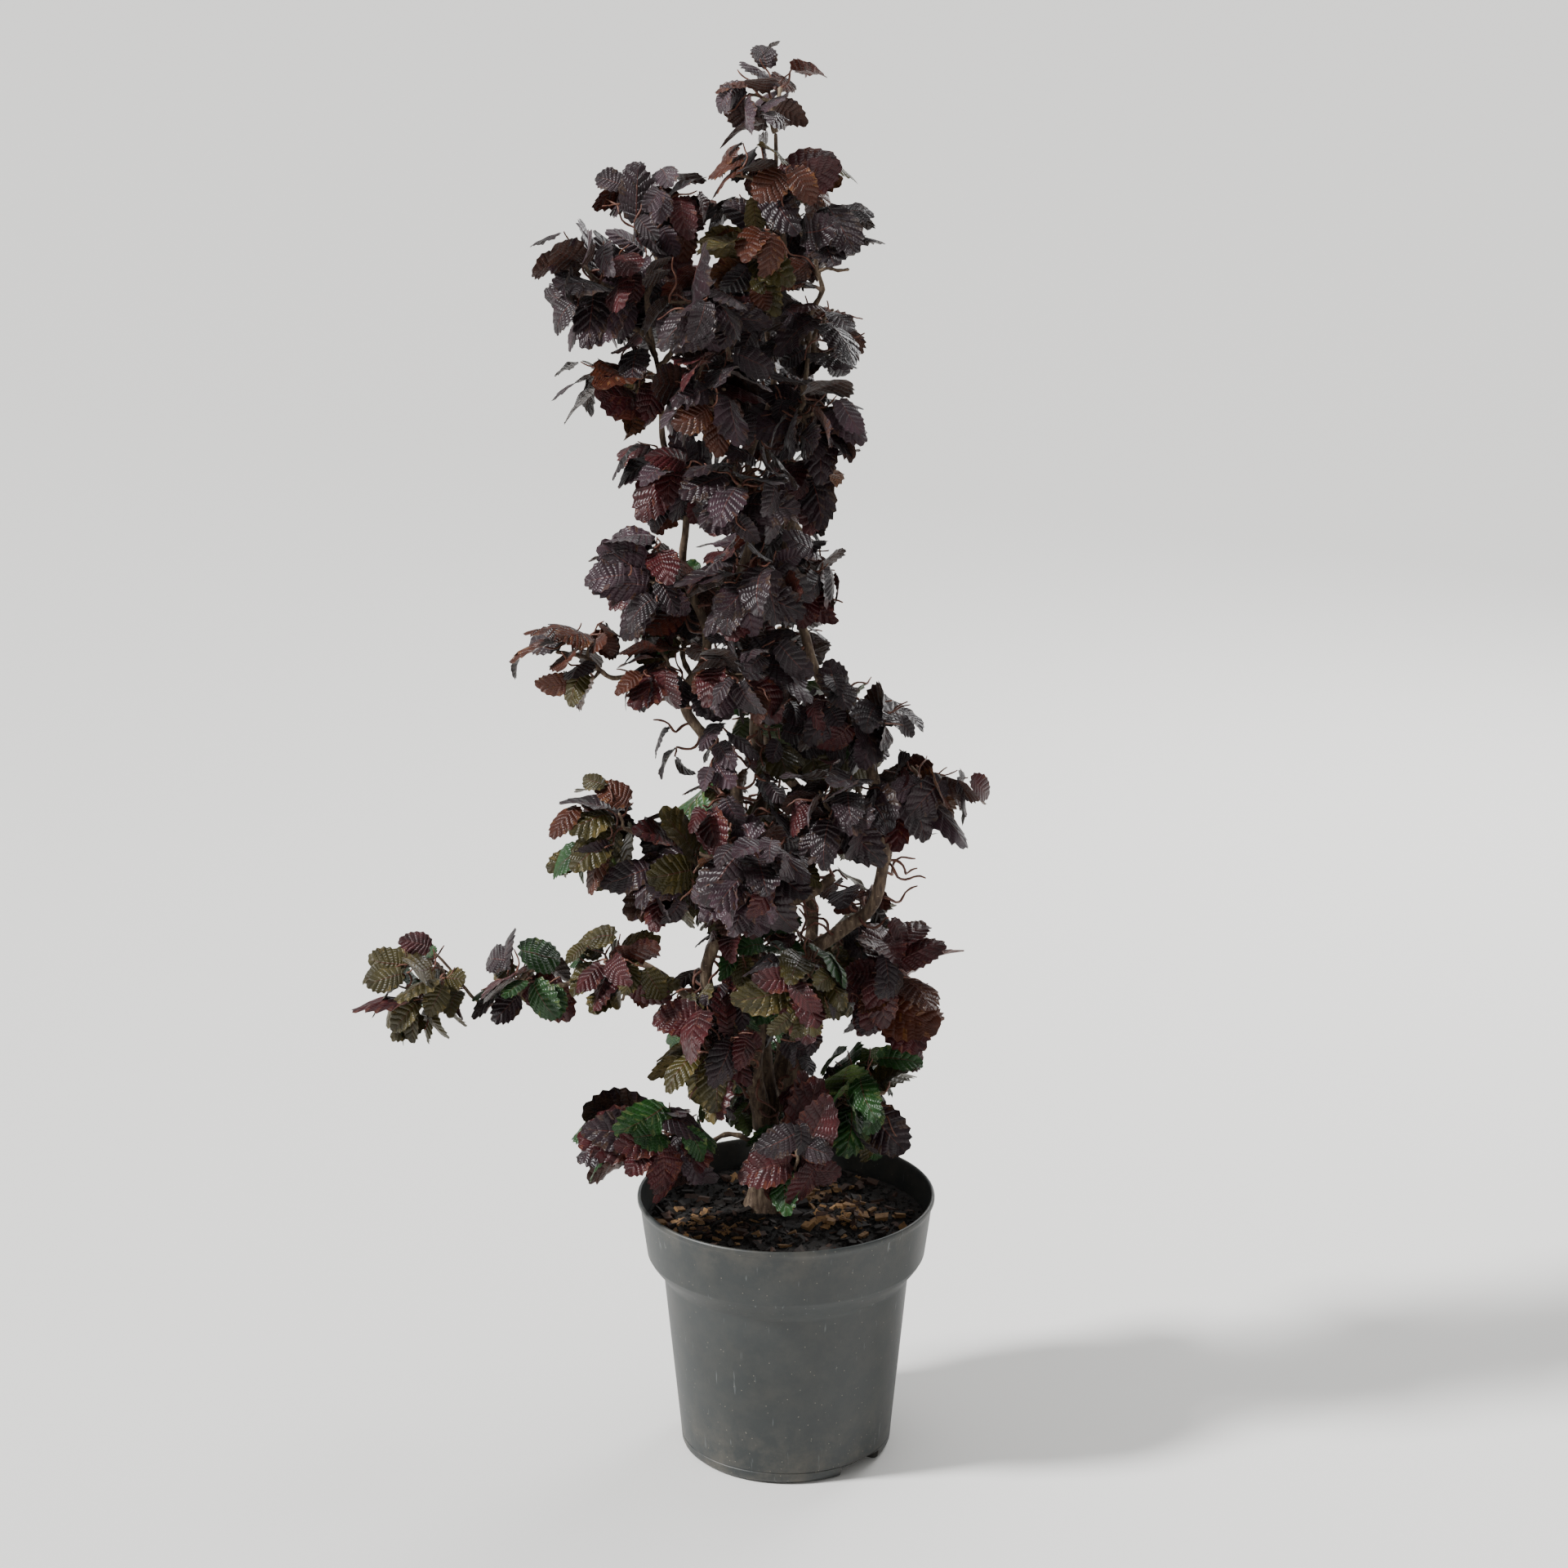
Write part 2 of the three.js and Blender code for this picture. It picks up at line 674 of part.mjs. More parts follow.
// A leaf stands on one of its joint's faces, hangs outwards and down, and has its upper face
// to the light as far as the three sides of that base allow.
function aimLeaf(skin, candidates, mass, way, random, looseness) {
  const corners = candidates[Math.floor(random() * candidates.length)];
  const root = faceMiddle(skin, corners);
  const normal = faceNormal(skin, corners);
  const outward = root.clone().sub(mass.middle).divide(mass.reach);
  outward.x += 0.004 * root.x;
  outward.y += 0.004 * root.y;
  const spread = 1 + looseness;
  const jitter = () => (random() - 0.5) * spread;
  const along = new THREE.Vector3(jitter(), jitter(), jitter() - 0.3)
    .addScaledVector(normal, 0.8)
    .addScaledVector(outward, 0.8 * (1 - looseness))
    .addScaledVector(way, 0.2)
    .normalize();
  const light = new THREE.Vector3(jitter() * 0.6, jitter() * 0.6 - 0.15, 0.8)
    .addScaledVector(outward, 0.6);
  const turned = [0, 1, 2].map((turn) => {
    const base = [0, 1, 2].map((k) => corners[(turn + k) % 3]);
    const edge = skin.points[base[0]].clone().sub(skin.points[base[1]]);
    const across = edge.addScaledVector(along, -edge.dot(along)).normalize();
    const face = along.clone().cross(across);
    return { root, along, across, face, base, corners, normal, score: face.dot(light) };
  });
  return turned.reduce((a, b) => (b.score > a.score ? b : a));
}

// Whether a leaf's first section clears the face that it stands on.
function standsClear(skin, leaf) {
  const { at, half, keel } = leafSections[1];
  const x = at * leaf.length;
  const corners = [
    leafPoint(leaf, x, half * leaf.length, 0),
    leafPoint(leaf, x, -half * leaf.length, 0),
    leafPoint(leaf, x, 0, -keel * leaf.length),
  ];
  return corners.every((corner) => corner.sub(leaf.root).dot(leaf.normal) > leastStand);
}

function growLeaf(skin, mass, candidates, way, leaves, woods, random) {
  for (let attempt = 0; attempt < leafTries; attempt++) {
    const leaf = aimLeaf(skin, candidates, mass, way, random, attempt / leafTries);
    const wanted = mass.leaf * (0.85 + 0.3 * random());
    if (leaf.score < 0.2 || leaf.normal.dot(leaf.along) < leastLean) continue;
    leaf.length = lengthWithRoom(leaf, wanted, mass);
    if (leaf.length === 0 || !standsClear(skin, leaf)) continue;
    if (leafIsFree(leaf, leaves, woods)) return leaf;
  }
  return null;
}

function growTwig(skin, mass, joint, foreign, own, random) {
  for (let attempt = 0; attempt < twigTries; attempt++) {
    const way = randomWay(random);
    way.z += 0.2;
    way.addScaledVector(joint.at.clone().sub(mass.middle).divide(mass.reach), 0.8).normalize();
    const { face, side, score } = bestFace(skin, joint, way);
    if (score < 0.5) continue;
    const from = faceMiddle(skin, face.corners);
    const reach = wayOut(mass, from, way) * twigShare;
    if (reach < 20) continue;
    const to = from.clone().addScaledVector(way, reach);
    const points = windingLine(from, to, twigTwist, twigStep, 3, 2 * Math.PI * random());
    const first = points[1].clone().sub(from).normalize();
    if (first.dot(faceNormal(skin, face.corners)) < 0.45) continue;
    const radii = taper(points, twigRadii);
    const spots = fineSpots(points, radii, 4);
    const inside = points.slice(1).every((point) => roomAround(point, mass) > clearance + 3);
    const leftStem = spots.filter((spot) => spot.at.distanceTo(from) > 7);
    const clear =
      !spots.some((spot) => foreign.some((other) => touches(spot, other, 1.6))) &&
      !leftStem.some((spot) => own.some((other) => touches(spot, other, 2.5)));
    if (!inside || !clear) continue;
    takeFace(skin, face);
    joint.used = side;
    own.push(...spots);
    return layTwig(skin, face.corners, points, radii, 2);
  }
  return null;
}

function growMass(mass, stemPoints, foreign) {
  const random = seeded(mass.seed);
  const skin = { points: [], faces: [] };
  const radii = taper(stemPoints, stemRadii);
  const along = stemPoints[1].clone().sub(stemPoints[0]).normalize();
  const foot = addRing(skin, ringRound(stemPoints[0], along, new THREE.Vector3(1, 0, 0), radii[0]));
  const stem = layTwig(skin, foot, stemPoints, radii, 3);
  addFace(skin, foot[0], foot[2], foot[1]);
  const own = fineSpots(stemPoints, radii, 4);
  const twigs = stem.joints
    .slice(-mass.twigs)
    .reverse()
    .map((joint) => growTwig(skin, mass, joint, foreign, own, random))
    .filter((twig) => twig);

  const leaves = [];
  const woods = [...foreign, ...own.map((spot) => ({ ...spot, own: true }))];
  for (const twig of [...twigs, stem]) {
    const way = twig.points.at(-1).clone().sub(twig.points.at(-2)).normalize();
    const last = growLeaf(skin, mass, [twig.end], way, leaves, woods, random);
    if (last) {
      leaves.push(last);
      layLeaf(skin, last);
    } else {
      addFace(skin, ...twig.end);
    }
    for (const joint of twig.joints) {
      const open = joint.faces.filter(({ side }) => side !== joint.used);
      const candidates = open.map(({ face }) => face.corners);
      const leaf = growLeaf(skin, mass, candidates, way, leaves, woods, random);
      if (!leaf) continue;
      leaves.push(leaf);
      const taken = open.find(({ face }) => face.corners === leaf.corners);
      takeFace(skin, taken.face);
      joint.used = taken.side;
      layLeaf(skin, leaf);
    }
  }
  return { skin, twigs, leaves };
}

function ringSector(middle, spread, inner, outer) {
  // The shape's own angle runs from +X, and the recess is counted from -Y.
  const from = THREE.MathUtils.degToRad(middle - spread / 2 - 90);
  const to = THREE.MathUtils.degToRad(middle + spread / 2 - 90);
  const shape = new THREE.Shape();
  shape.absarc(0, 0, outer, from, to, false);
  shape.absarc(0, 0, inner, to, from, true);
  return shape;
}

// A drainage recess grown by a margin on every side.
function recess(middle, margin) {
  const turn = THREE.MathUtils.radToDeg((2 * margin) / footRadius);
  const inner = recessInnerRadius - margin;
  const shape = ringSector(middle, recessSpread + turn, inner, footRadius + 20);
  const depth = recessHeight + margin + 10;
  const block = new THREE.ExtrudeGeometry(shape, { depth, bevelEnabled: false, curveSegments: 5 });
  block.translate(0, 0, -10);
  return solidOfGeometry(block);
}

// A turned body from its outline, from the bottom of the axis to the top.
function turned(outline) {
  const points = outline.map(([r, z]) => new THREE.Vector2(r, z));
  const lathe = new THREE.LatheGeometry(points, potSides);
  lathe.rotateX(Math.PI / 2);
  return solidOfGeometry(lathe);
}

function outerOutline() {
  const rounded = footRounding * (1 - Math.SQRT1_2);
  return [
    [0, 0],
    [footRadius - footRounding, 0],
    [footRadius - rounded, rounded],
    [footRadius, footRounding],
    [shoulderRadius, shoulderHeight],
    [collarFootRadius - 4, collarFootHeight - 8],
    [collarFootRadius, collarFootHeight],
    [rimRadius - 2, potHeight - rimLip - 3],
    [rimRadius, potHeight - rimLip],
    [rimRadius, potHeight - 1],
    [rimRadius - 1, potHeight],
    [0, potHeight],
  ];
}

// The inside of the pot up to a height, a margin in from its wall.
function innerOutline(top, margin) {
  const inset = wall + margin;
  const last = rimRadius - 1 - inset;
  const wallRadius = (z) => {
    const share = (z - collarFootHeight) / (potHeight - collarFootHeight);
    return collarFootRadius - inset + share * (last - collarFootRadius + inset);
  };
  return [
    [0, floorThickness + margin],
    [footRadius - inset - 4, floorThickness + margin],
    [footRadius - inset, floorThickness + margin + 5],
    [shoulderRadius - inset, shoulderHeight],
    [collarFootRadius - inset, collarFootHeight],
    [wallRadius(top), top],
    [0, top],
  ];
}

function potSolid() {
  let inside = turned(innerOutline(potHeight + 5, 0));
  let pot = turned(outerOutline());
  for (const middle of recessMiddles) inside = inside.subtract(recess(middle, wall));
  pot = pot.subtract(inside);
  for (const middle of recessMiddles) pot = pot.subtract(recess(middle, 0));
  return pot;
}

function soilSolid() {
  let soil = turned(innerOutline(soilHeight, gap));
  for (const middle of recessMiddles) soil = soil.subtract(recess(middle, wall + gap));
  return soil;
}

// The top of the compost with the gap above it, which the trunk is cut off level with.
function groundSolid() {
  const depth = 30;
  const disc = new THREE.CylinderGeometry(rimRadius, rimRadius, depth, potSides);
  disc.rotateX(Math.PI / 2);
  disc.translate(0, 0, soilHeight + gap - depth / 2);
  return solidOfGeometry(disc);
}

function buildPlant() {
  const group = new THREE.Group();
  group.add(namedMesh("pot", potSolid(), "pot"));
  group.add(namedMesh("soil", soilSolid(), "soil"));

  const wood = {};
  const limbSpots = [];
  const swollen = { ground: groundSolid() };
  for (const limb of limbs.map(sampleLimb)) {
    wood[limb.name] = fineSpots(limb.points, limb.radii, 4);
    for (const spot of wood[limb.name]) limbSpots.push({ ...spot, owner: limb.name });
    let solid = tube(limb.points, limb.radii, limb.sides);
    for (const earlier of Object.values(swollen)) solid = solid.subtract(earlier);
    group.add(namedMesh(limb.name, largestPiece(solid), "bark"));
    swollen[limb.name] = swollenTube(limb);
  }

  masses.forEach(findWalls);
  const stemSpots = [];
  const stems = masses.map((mass) => {
    const others = limbSpots.filter((spot) => spot.owner !== mass.limb);
    const stem = findStem(mass, wood[mass.limb], [...others, ...stemSpots]);
    const spots = fineSpots(stem, taper(stem, stemRadii), 4);
    for (const spot of spots) stemSpots.push({ ...spot, owner: mass.name });
    return stem;
  });

  masses.forEach((mass, index) => {
    const near = (spot) => spot.at.distanceTo(mass.middle) < 1.6 * Math.max(...mass.reach);
    const foreign = [...limbSpots, ...stemSpots].filter(
      (spot) => spot.owner !== mass.name && near(spot),
    );
    const { skin, twigs, leaves } = growMass(mass, stems[index], foreign);
    const whole = solidOf(skin.points, skin.faces.map(({ corners }) => corners));
    const solid = largestPiece(whole.subtract(swollen[mass.limb]));
    group.add(namedMesh(mass.name, solid, mass.tint));
  });
  return group;
}

export default buildPlant();
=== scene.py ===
# A contorted purple-leaved hazel in a round grey nursery pot. The plant is grown here by the
# same rule as in the part's source, in millimetres, and its leaves and twigs are carried on to
# finer ones inside the same spaces.
import math

import bpy
import numpy as np
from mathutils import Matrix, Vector, kdtree, noise


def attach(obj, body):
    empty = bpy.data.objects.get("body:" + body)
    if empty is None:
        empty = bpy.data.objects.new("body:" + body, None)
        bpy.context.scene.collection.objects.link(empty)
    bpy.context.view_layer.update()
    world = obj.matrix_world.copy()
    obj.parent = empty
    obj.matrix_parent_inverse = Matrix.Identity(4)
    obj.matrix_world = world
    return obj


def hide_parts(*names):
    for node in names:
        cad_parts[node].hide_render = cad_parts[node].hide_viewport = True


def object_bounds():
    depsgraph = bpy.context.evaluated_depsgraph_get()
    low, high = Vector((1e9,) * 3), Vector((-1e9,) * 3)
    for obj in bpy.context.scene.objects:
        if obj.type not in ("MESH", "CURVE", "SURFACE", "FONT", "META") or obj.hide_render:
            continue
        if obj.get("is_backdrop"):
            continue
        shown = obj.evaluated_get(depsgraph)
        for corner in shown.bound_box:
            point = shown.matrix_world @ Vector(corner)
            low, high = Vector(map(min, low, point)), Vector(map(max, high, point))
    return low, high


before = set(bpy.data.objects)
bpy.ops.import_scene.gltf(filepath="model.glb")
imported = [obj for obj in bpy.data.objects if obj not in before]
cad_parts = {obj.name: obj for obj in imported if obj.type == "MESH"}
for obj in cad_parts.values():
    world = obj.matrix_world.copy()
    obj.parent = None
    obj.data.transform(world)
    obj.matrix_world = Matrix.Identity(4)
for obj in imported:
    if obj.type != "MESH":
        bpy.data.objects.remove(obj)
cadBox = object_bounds()
mm = 0.001
print("the packed model is in:", len(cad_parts), "nodes")


def linear(hexColour):
    # sRGB hex to the linear colour that Blender's sockets take.
    channels = [int(hexColour[i:i + 2], 16) / 255 for i in (0, 2, 4)]
    return [c / 12.92 if c <= 0.04045 else ((c + 0.055) / 1.055) ** 2.4 for c in channels] + [1]


def addNode(tree, kind, settings=(), links=()):
    # A key of settings or links is a socket's name or number, or else a property of the node.
    node = tree.nodes.new("ShaderNode" + kind)
    for name, value in dict(settings).items():
        if name == "stops":
            ramp = node.color_ramp
            while len(ramp.elements) < len(value):
                ramp.elements.new(0.5)
            for element, (place, colour) in zip(ramp.elements, value):
                element.position = place
                element.color = linear(colour) if isinstance(colour, str) else [colour] * 3 + [1]
        elif isinstance(name, int) or name in node.inputs:
            node.inputs[name].default_value = value
        else:
            setattr(node, name, value)
    for name, (source, output) in dict(links).items():
        tree.links.new(source.outputs[output], node.inputs[name])
    return node


def newMaterial(name):
    # A bare material, its nodes, and the link that hands a pattern the place on the object.
    material = bpy.data.materials.new(name)
    material.use_nodes = True
    material.node_tree.nodes.clear()
    place = addNode(material.node_tree, "TexCoord")
    return material, material.node_tree, {"Vector": (place, "Object")}


def closeMaterial(tree, settings, links=()):
    shader = addNode(tree, "BsdfPrincipled", settings, links)
    addNode(tree, "OutputMaterial", links={"Surface": (shader, 0)})


def deselect():
    bpy.ops.object.select_all(action="DESELECT")


def pick(piece):
    deselect()
    piece.select_set(True)
    bpy.context.view_layer.objects.active = piece


def applyModifier(piece, kind, settings):
    bpy.ops.object.modifier_add(type=kind)
    modifier = piece.modifiers[-1]
    for name, value in settings.items():
        setattr(modifier, name, value)
    bpy.ops.object.modifier_apply(modifier=modifier.name)


def finishPiece(piece, material, nodes):
    piece.data.materials.clear()
    piece.data.materials.append(material)
    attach(piece, "root")
    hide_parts(*nodes)


def addJoined(name, points, faces, material, nodes, smooth=True):
    # Many small things as one mesh. Points are in millimetres.
    mesh = bpy.data.meshes.new(name)
    mesh.from_pydata((np.asarray(points) * mm).tolist(), [], faces)
    mesh.polygons.foreach_set("use_smooth", np.full(len(faces), smooth))
    piece = bpy.data.objects.new(name, mesh)
    bpy.context.scene.collection.objects.link(piece)
    finishPiece(piece, material, nodes)
    print(name + ":", sum(len(face) - 2 for face in faces), "triangles")
    return piece


def seeded(seed):
    # Draws between 0 and 1, the same ones as in the part's source.
    state = [seed]

    def value():
        state[0] = state[0] * 16807 % 2147483647
        return state[0] / 2147483647

    return value


def dot(a, b):
    return a[0] * b[0] + a[1] * b[1] + a[2] * b[2]


def unit(v):
    return v * (1 / (math.sqrt(dot(v, v)) or 1))


def cross(a, b):
    return np.array([
        a[1] * b[2] - a[2] * b[1],
        a[2] * b[0] - a[0] * b[2],
        a[0] * b[1] - a[1] * b[0],
    ])


# The pot's sizes, in millimetres and degrees, as in the part's source.
pot = {
    "height": 254,
    "rimRadius": 140,
    "soilHeight": 226,
    "recessMiddles": [46, 226],
    "recessSpread": 30,
    "recessInnerRadius": 74,
    "recessLength": 44,
    "recessHeight": 12,
    "recessDome": 2,
    "sides": 160,
}

# The limbs, as in the part's source. Each swings about its route, once round in limbTurn.
limbTurn = 125
limbs = [
    {"name": "trunk", "radii": [15, 18], "flare": 10, "crest": 0.45, "steps": 9,
     "route": [[-20, 31, 218], [-15, 26, 272], [-12, 24, 322]]},
    {"name": "stem_left", "twist": 6, "phase": 0.4, "radii": [9.5, 3], "steps": 38,
     "route": [[-22, 17, 312], [-29, -2, 400], [-26, -6, 500], [-38, -10, 626],
               [-74, -3, 700], [-87, 0, 738], [-77, 2, 776], [-92, 4, 889], [-120, 0, 1072]]},
    {"name": "stem_middle", "twist": 6.5, "phase": 2.2, "radii": [9, 2.6], "steps": 38,
     "route": [[-8, 30, 312], [-30, 30, 420], [-38, 24, 545], [-22, 24, 695],
               [-38, 20, 847], [-20, 20, 995], [-6, 10, 1119], [-9, 0, 1238]]},
    {"name": "stem_right_low", "twist": 3, "phase": 2.0, "radii": [10.5, 7.5], "steps": 16,
     "route": [[0, 20, 312], [12, 18, 400], [14, 12, 478], [46, 6, 512], [80, 0, 534],
               [89, 0, 578]]},
    {"name": "stem_right_high", "twist": 5, "phase": 1.0, "radii": [7.3, 2.8], "steps": 26,
     "route": [[89, 0, 578.5], [91, 0, 623], [72, 0, 672], [52, 2, 729], [18, 2, 775],
               [2, 4, 849], [6, 0, 951], [20, -8, 1060]]},
    {"name": "stem_back", "twist": 7, "phase": 3.6, "radii": [8.5, 2.8], "steps": 36,
     "route": [[-14, 34, 312], [2, 56, 420], [26, 70, 560], [-14, 66, 700], [16, 68, 840],
               [-34, 66, 980], [-62, 52, 1090]]},
    {"name": "bough_left", "twist": 4, "phase": 0, "radii": [5, 2], "steps": 24,
     "route": [[-29, -3, 398], [-87, -8, 452], [-150, -5, 483], [-186, 0, 470],
               [-240, 0, 452], [-276, 0, 440], [-300, 0, 466], [-324, 0, 492]]},
    {"name": "bough_low_right", "radii": [6.5, 4.5], "steps": 8,
     "route": [[-37, 24, 530], [-12, 12, 537], [18, 6, 545], [44, 10, 562]]},
    {"name": "stub_left", "radii": [7, 5.5], "steps": 8,
     "route": [[-28, 0, 420], [-66, -2, 446], [-74, -2, 474], [-63, -4, 508]]},
]

# A mass: its limb, the middle and half sizes of its space, how many side twigs it has, its
# leaves' length and main colour, and its seed.
# The rust colour is partly the leaves' own bronze and partly painted backlight, the warm glow of
# sun shining through a leaf.
masses = [
    ["leader_tip", "stem_middle", [-8, 0, 1266], [56, 48, 54], 3, 54, "plum", 64],
    ["leader_upper", "stem_middle", [-12, -6, 1198], [76, 60, 46], 3, 60, "rust", 45],
    ["leader_right", "stem_right_high", [30, -8, 1140], [58, 60, 58], 3, 66, "dark", 21],
    ["leader_left", "stem_middle", [-32, -30, 1136], [54, 52, 50], 2, 60, "rust", 24],
    ["leader_back", "stem_middle", [-12, 60, 1148], [66, 56, 62], 3, 62, "dark", 59],
    ["upper_left_top", "stem_left", [-114, 4, 1172], [66, 54, 46], 3, 60, "maroon", 54],
    ["upper_left_out", "stem_left", [-170, -12, 1120], [58, 60, 66], 3, 68, "plum", 71],
    ["upper_left_back", "stem_left", [-126, 62, 1098], [62, 54, 66], 3, 64, "dark", 44],
    ["upper_front", "stem_left", [-74, -58, 1102], [60, 56, 56], 3, 66, "dark", 12],
    ["upper_back", "stem_back", [-50, 96, 1072], [60, 54, 66], 3, 64, "dark", 47],
    ["upper_right", "stem_right_high", [30, -4, 1066], [58, 60, 50], 3, 62, "dark", 37],
    ["left_flag", "stem_left", [-150, -16, 1024], [56, 56, 54], 3, 62, "rust", 75],
    ["heart_front", "stem_left", [-62, -66, 1024], [60, 56, 54], 3, 74, "dark", 75],
    ["heart_right", "stem_right_high", [20, -36, 1000], [58, 56, 52], 3, 66, "dark", 53],
    ["heart_back", "stem_back", [-22, 92, 985], [62, 56, 60], 3, 64, "dark", 15],
    ["neck_left", "stem_left", [-108, -4, 940], [54, 58, 54], 3, 60, "maroon", 13],
    ["neck_front", "stem_middle", [-38, -60, 940], [56, 54, 52], 3, 64, "dark", 22],
    ["neck_right", "stem_right_high", [28, -2, 932], [50, 56, 52], 3, 62, "maroon", 31],
    ["waist_front", "stem_middle", [-34, -62, 856], [58, 54, 52], 3, 64, "dark", 66],
    ["waist_right", "stem_right_high", [8, 4, 848], [50, 58, 54], 3, 58, "maroon", 15],
    ["waist_back", "stem_back", [-18, 88, 868], [62, 54, 64], 3, 62, "dark", 50],
    ["drape_left", "stem_left", [-128, -20, 850], [54, 52, 56], 3, 76, "plum", 38],
    ["drape_back", "stem_left", [-106, 62, 800], [54, 50, 60], 3, 64, "olive", 39],
    ["belt_front", "stem_middle", [-30, -58, 776], [60, 54, 50], 3, 60, "dark", 56],
    ["belt_back", "stem_back", [-6, 88, 768], [60, 54, 58], 3, 62, "dark", 38],
    ["spur_left", "stem_left", [-196, -4, 776], [60, 48, 46], 3, 58, "rust", 26],
    ["spur_near", "stem_left", [-122, -18, 760], [44, 46, 46], 2, 64, "plum", 11],
    ["shoulder", "stem_right_high", [66, -6, 724], [66, 64, 56], 3, 64, "dark", 49],
    ["shoulder_back", "stem_back", [38, 92, 674], [64, 54, 62], 3, 62, "olive", 73],
    ["point_right", "stem_right_high", [130, -8, 652], [60, 54, 58], 3, 66, "maroon", 63],
    ["inner_right", "stem_right_high", [44, -62, 646], [58, 54, 56], 3, 62, "dark", 72],
    ["shelf_left_out", "stem_left", [-176, -12, 612], [56, 52, 56], 3, 62, "olive", 20],
    ["shelf_left", "stem_left", [-110, -36, 590], [58, 56, 62], 3, 72, "dark", 47],
    ["shelf_front", "stem_left", [-34, -72, 590], [60, 56, 62], 3, 70, "plum", 63],
    ["shelf_back", "stem_back", [-54, 92, 590], [70, 56, 66], 3, 64, "olive", 25],
    ["low_right", "stem_right_low", [106, -12, 466], [58, 60, 66], 3, 68, "maroon", 52],
    ["low_right_back", "stem_back", [56, 86, 470], [66, 58, 70], 3, 66, "olive", 27],
    ["low_front", "stem_right_low", [10, -66, 484], [58, 54, 54], 3, 64, "green", 54],
    ["branch_tip", "bough_left", [-340, -4, 460], [54, 48, 54], 3, 64, "olive", 30],
    ["branch_middle", "bough_left", [-246, -6, 464], [58, 50, 50], 3, 58, "green", 45],
    ["branch_root", "bough_left", [-150, -12, 476], [60, 54, 52], 3, 58, "olive", 29],
    ["foot_left", "stem_left", [-74, -56, 416], [58, 56, 66], 3, 62, "dark", 43],
    ["foot_left_low", "trunk", [-132, -60, 336], [70, 58, 66], 3, 78, "plum", 35],
    ["foot_back", "stem_back", [-48, 82, 376], [72, 60, 72], 3, 66, "green", 29],
    ["foot_right", "stem_right_low", [82, -6, 356], [60, 64, 66], 3, 64, "dark", 11],
    ["foot_front", "trunk", [4, -70, 336], [54, 52, 66], 3, 66, "maroon", 20],
]
massKeys = ["name", "limb", "middle", "reach", "twigs", "leaf", "tint", "seed"]
masses = [dict(zip(massKeys, row), stemSeed=101 + 37 * i) for i, row in enumerate(masses)]
for mass in masses:
    mass["middle"] = np.array(mass["middle"], float)
    mass["reach"] = np.array(mass["reach"], float)

# How the twigs grow, as in the part's source.
growth = {
    "stemRadii": [2.8, 1.9],
    "twigRadii": [1.8, 1.4],
    "stemStep": 14,
    "twigStep": 12,
    "stemTwist": 6,
    "twigTwist": 4.5,
    "turnLength": 60,
    "jointHalf": 1.6,
    "twigShare": 0.44,
    "stemTries": 160,
    "widestDrift": 36,
    "twigTries": 30,
    "leafTries": 60,
    "clearance": 0.8,
    "rimInset": 20,
    "overSoil": 8,
    "overRim": 5,
    "spotStep": 4,
    "leafShortest": 0.7,
    "leafKeep": 2.6,
    "leastLean": 0.45,
    "leastStand": 1.5,
}
# A leaf's half width and sag at four places along it, as shares of its length.
sectionAt = [0, 0.36, 0.75, 1]
sectionHalf = [0.03, 0.41, 0.33, 0]
sectionSag = [0, 0, 0.06, 0.15]
firstKeel = 0.034
leafRows = 7
leafColumns = [-1, -0.5, 0, 0.5, 1]
spotShares = np.array(
    [(row / leafRows, column) for row in range(1, leafRows) for column in leafColumns] + [(1, 0)]
)
spotHalves = spotShares[:, 1] * np.interp(spotShares[:, 0], sectionAt, sectionHalf)
spotSags = np.interp(spotShares[:, 0], sectionAt, sectionSag)


def curvePoint(route, t):
    # A smooth curve through the route, eased by the square roots of the distances.
    last = len(route) - 1
    i = math.floor(last * t)
    weight = last * t - i
    if i == last:
        i, weight = last - 1, 1
    before = route[i - 1] if i > 0 else 2 * route[0] - route[1]
    after = route[i + 2] if i + 2 <= last else 2 * route[last] - route[last - 1]
    p = [before, route[i], route[i + 1], after]
    d = [((p[k + 1] - p[k]) @ (p[k + 1] - p[k])) ** 0.25 for k in range(3)]
    start = (p[1] - p[0]) / d[0] - (p[2] - p[0]) / (d[0] + d[1]) + (p[2] - p[1]) / d[1]
    end = (p[2] - p[1]) / d[1] - (p[3] - p[1]) / (d[1] + d[2]) + (p[3] - p[2]) / d[2]
    start, end = start * d[1], end * d[1]
    square = -3 * p[1] + 3 * p[2] - 2 * start - end
    cube = 2 * p[1] - 2 * p[2] + start + end
    return p[1] + start * weight + square * weight ** 2 + cube * weight ** 3


def sampleLimb(limb):
    route = [np.array(point, float) for point in limb["route"]]
    dense = [curvePoint(route, k / 200) for k in range(201)]
    pieces = [math.dist(a, b) for a, b in zip(dense, dense[1:])]
    lengths = np.concatenate([[0], np.cumsum(pieces)])
    points, radii = [], []
    foot, tip = limb["radii"]
    for i in range(limb["steps"] + 1):
        share = i / limb["steps"]
        t = np.interp(share * lengths[-1], lengths, np.linspace(0, 1, 201))
        swing = limb.get("twist", 0) * min(1, 6 * share, 6 * (1 - share))
        angle = 2 * math.pi * share * lengths[-1] / limbTurn + limb.get("phase", 0)
        ahead = curvePoint(route, min(1, t + 0.0001))
        along = unit(ahead - curvePoint(route, max(0, t - 0.0001)))
        across = unit(cross(np.array([0, 1, 0]), along))
        other = cross(along, across)
        swung = swing * math.cos(angle) * across + swing * math.sin(angle) * other
        points.append(curvePoint(route, t) + swung)
        spread = limb.get("flare", 0) * math.exp(-share * 7)
        narrowing = 1 - limb.get("crest", 0) * share ** 6
        radii.append((foot + (tip - foot) * share + spread) * narrowing)
    return np.array(points), np.array(radii)


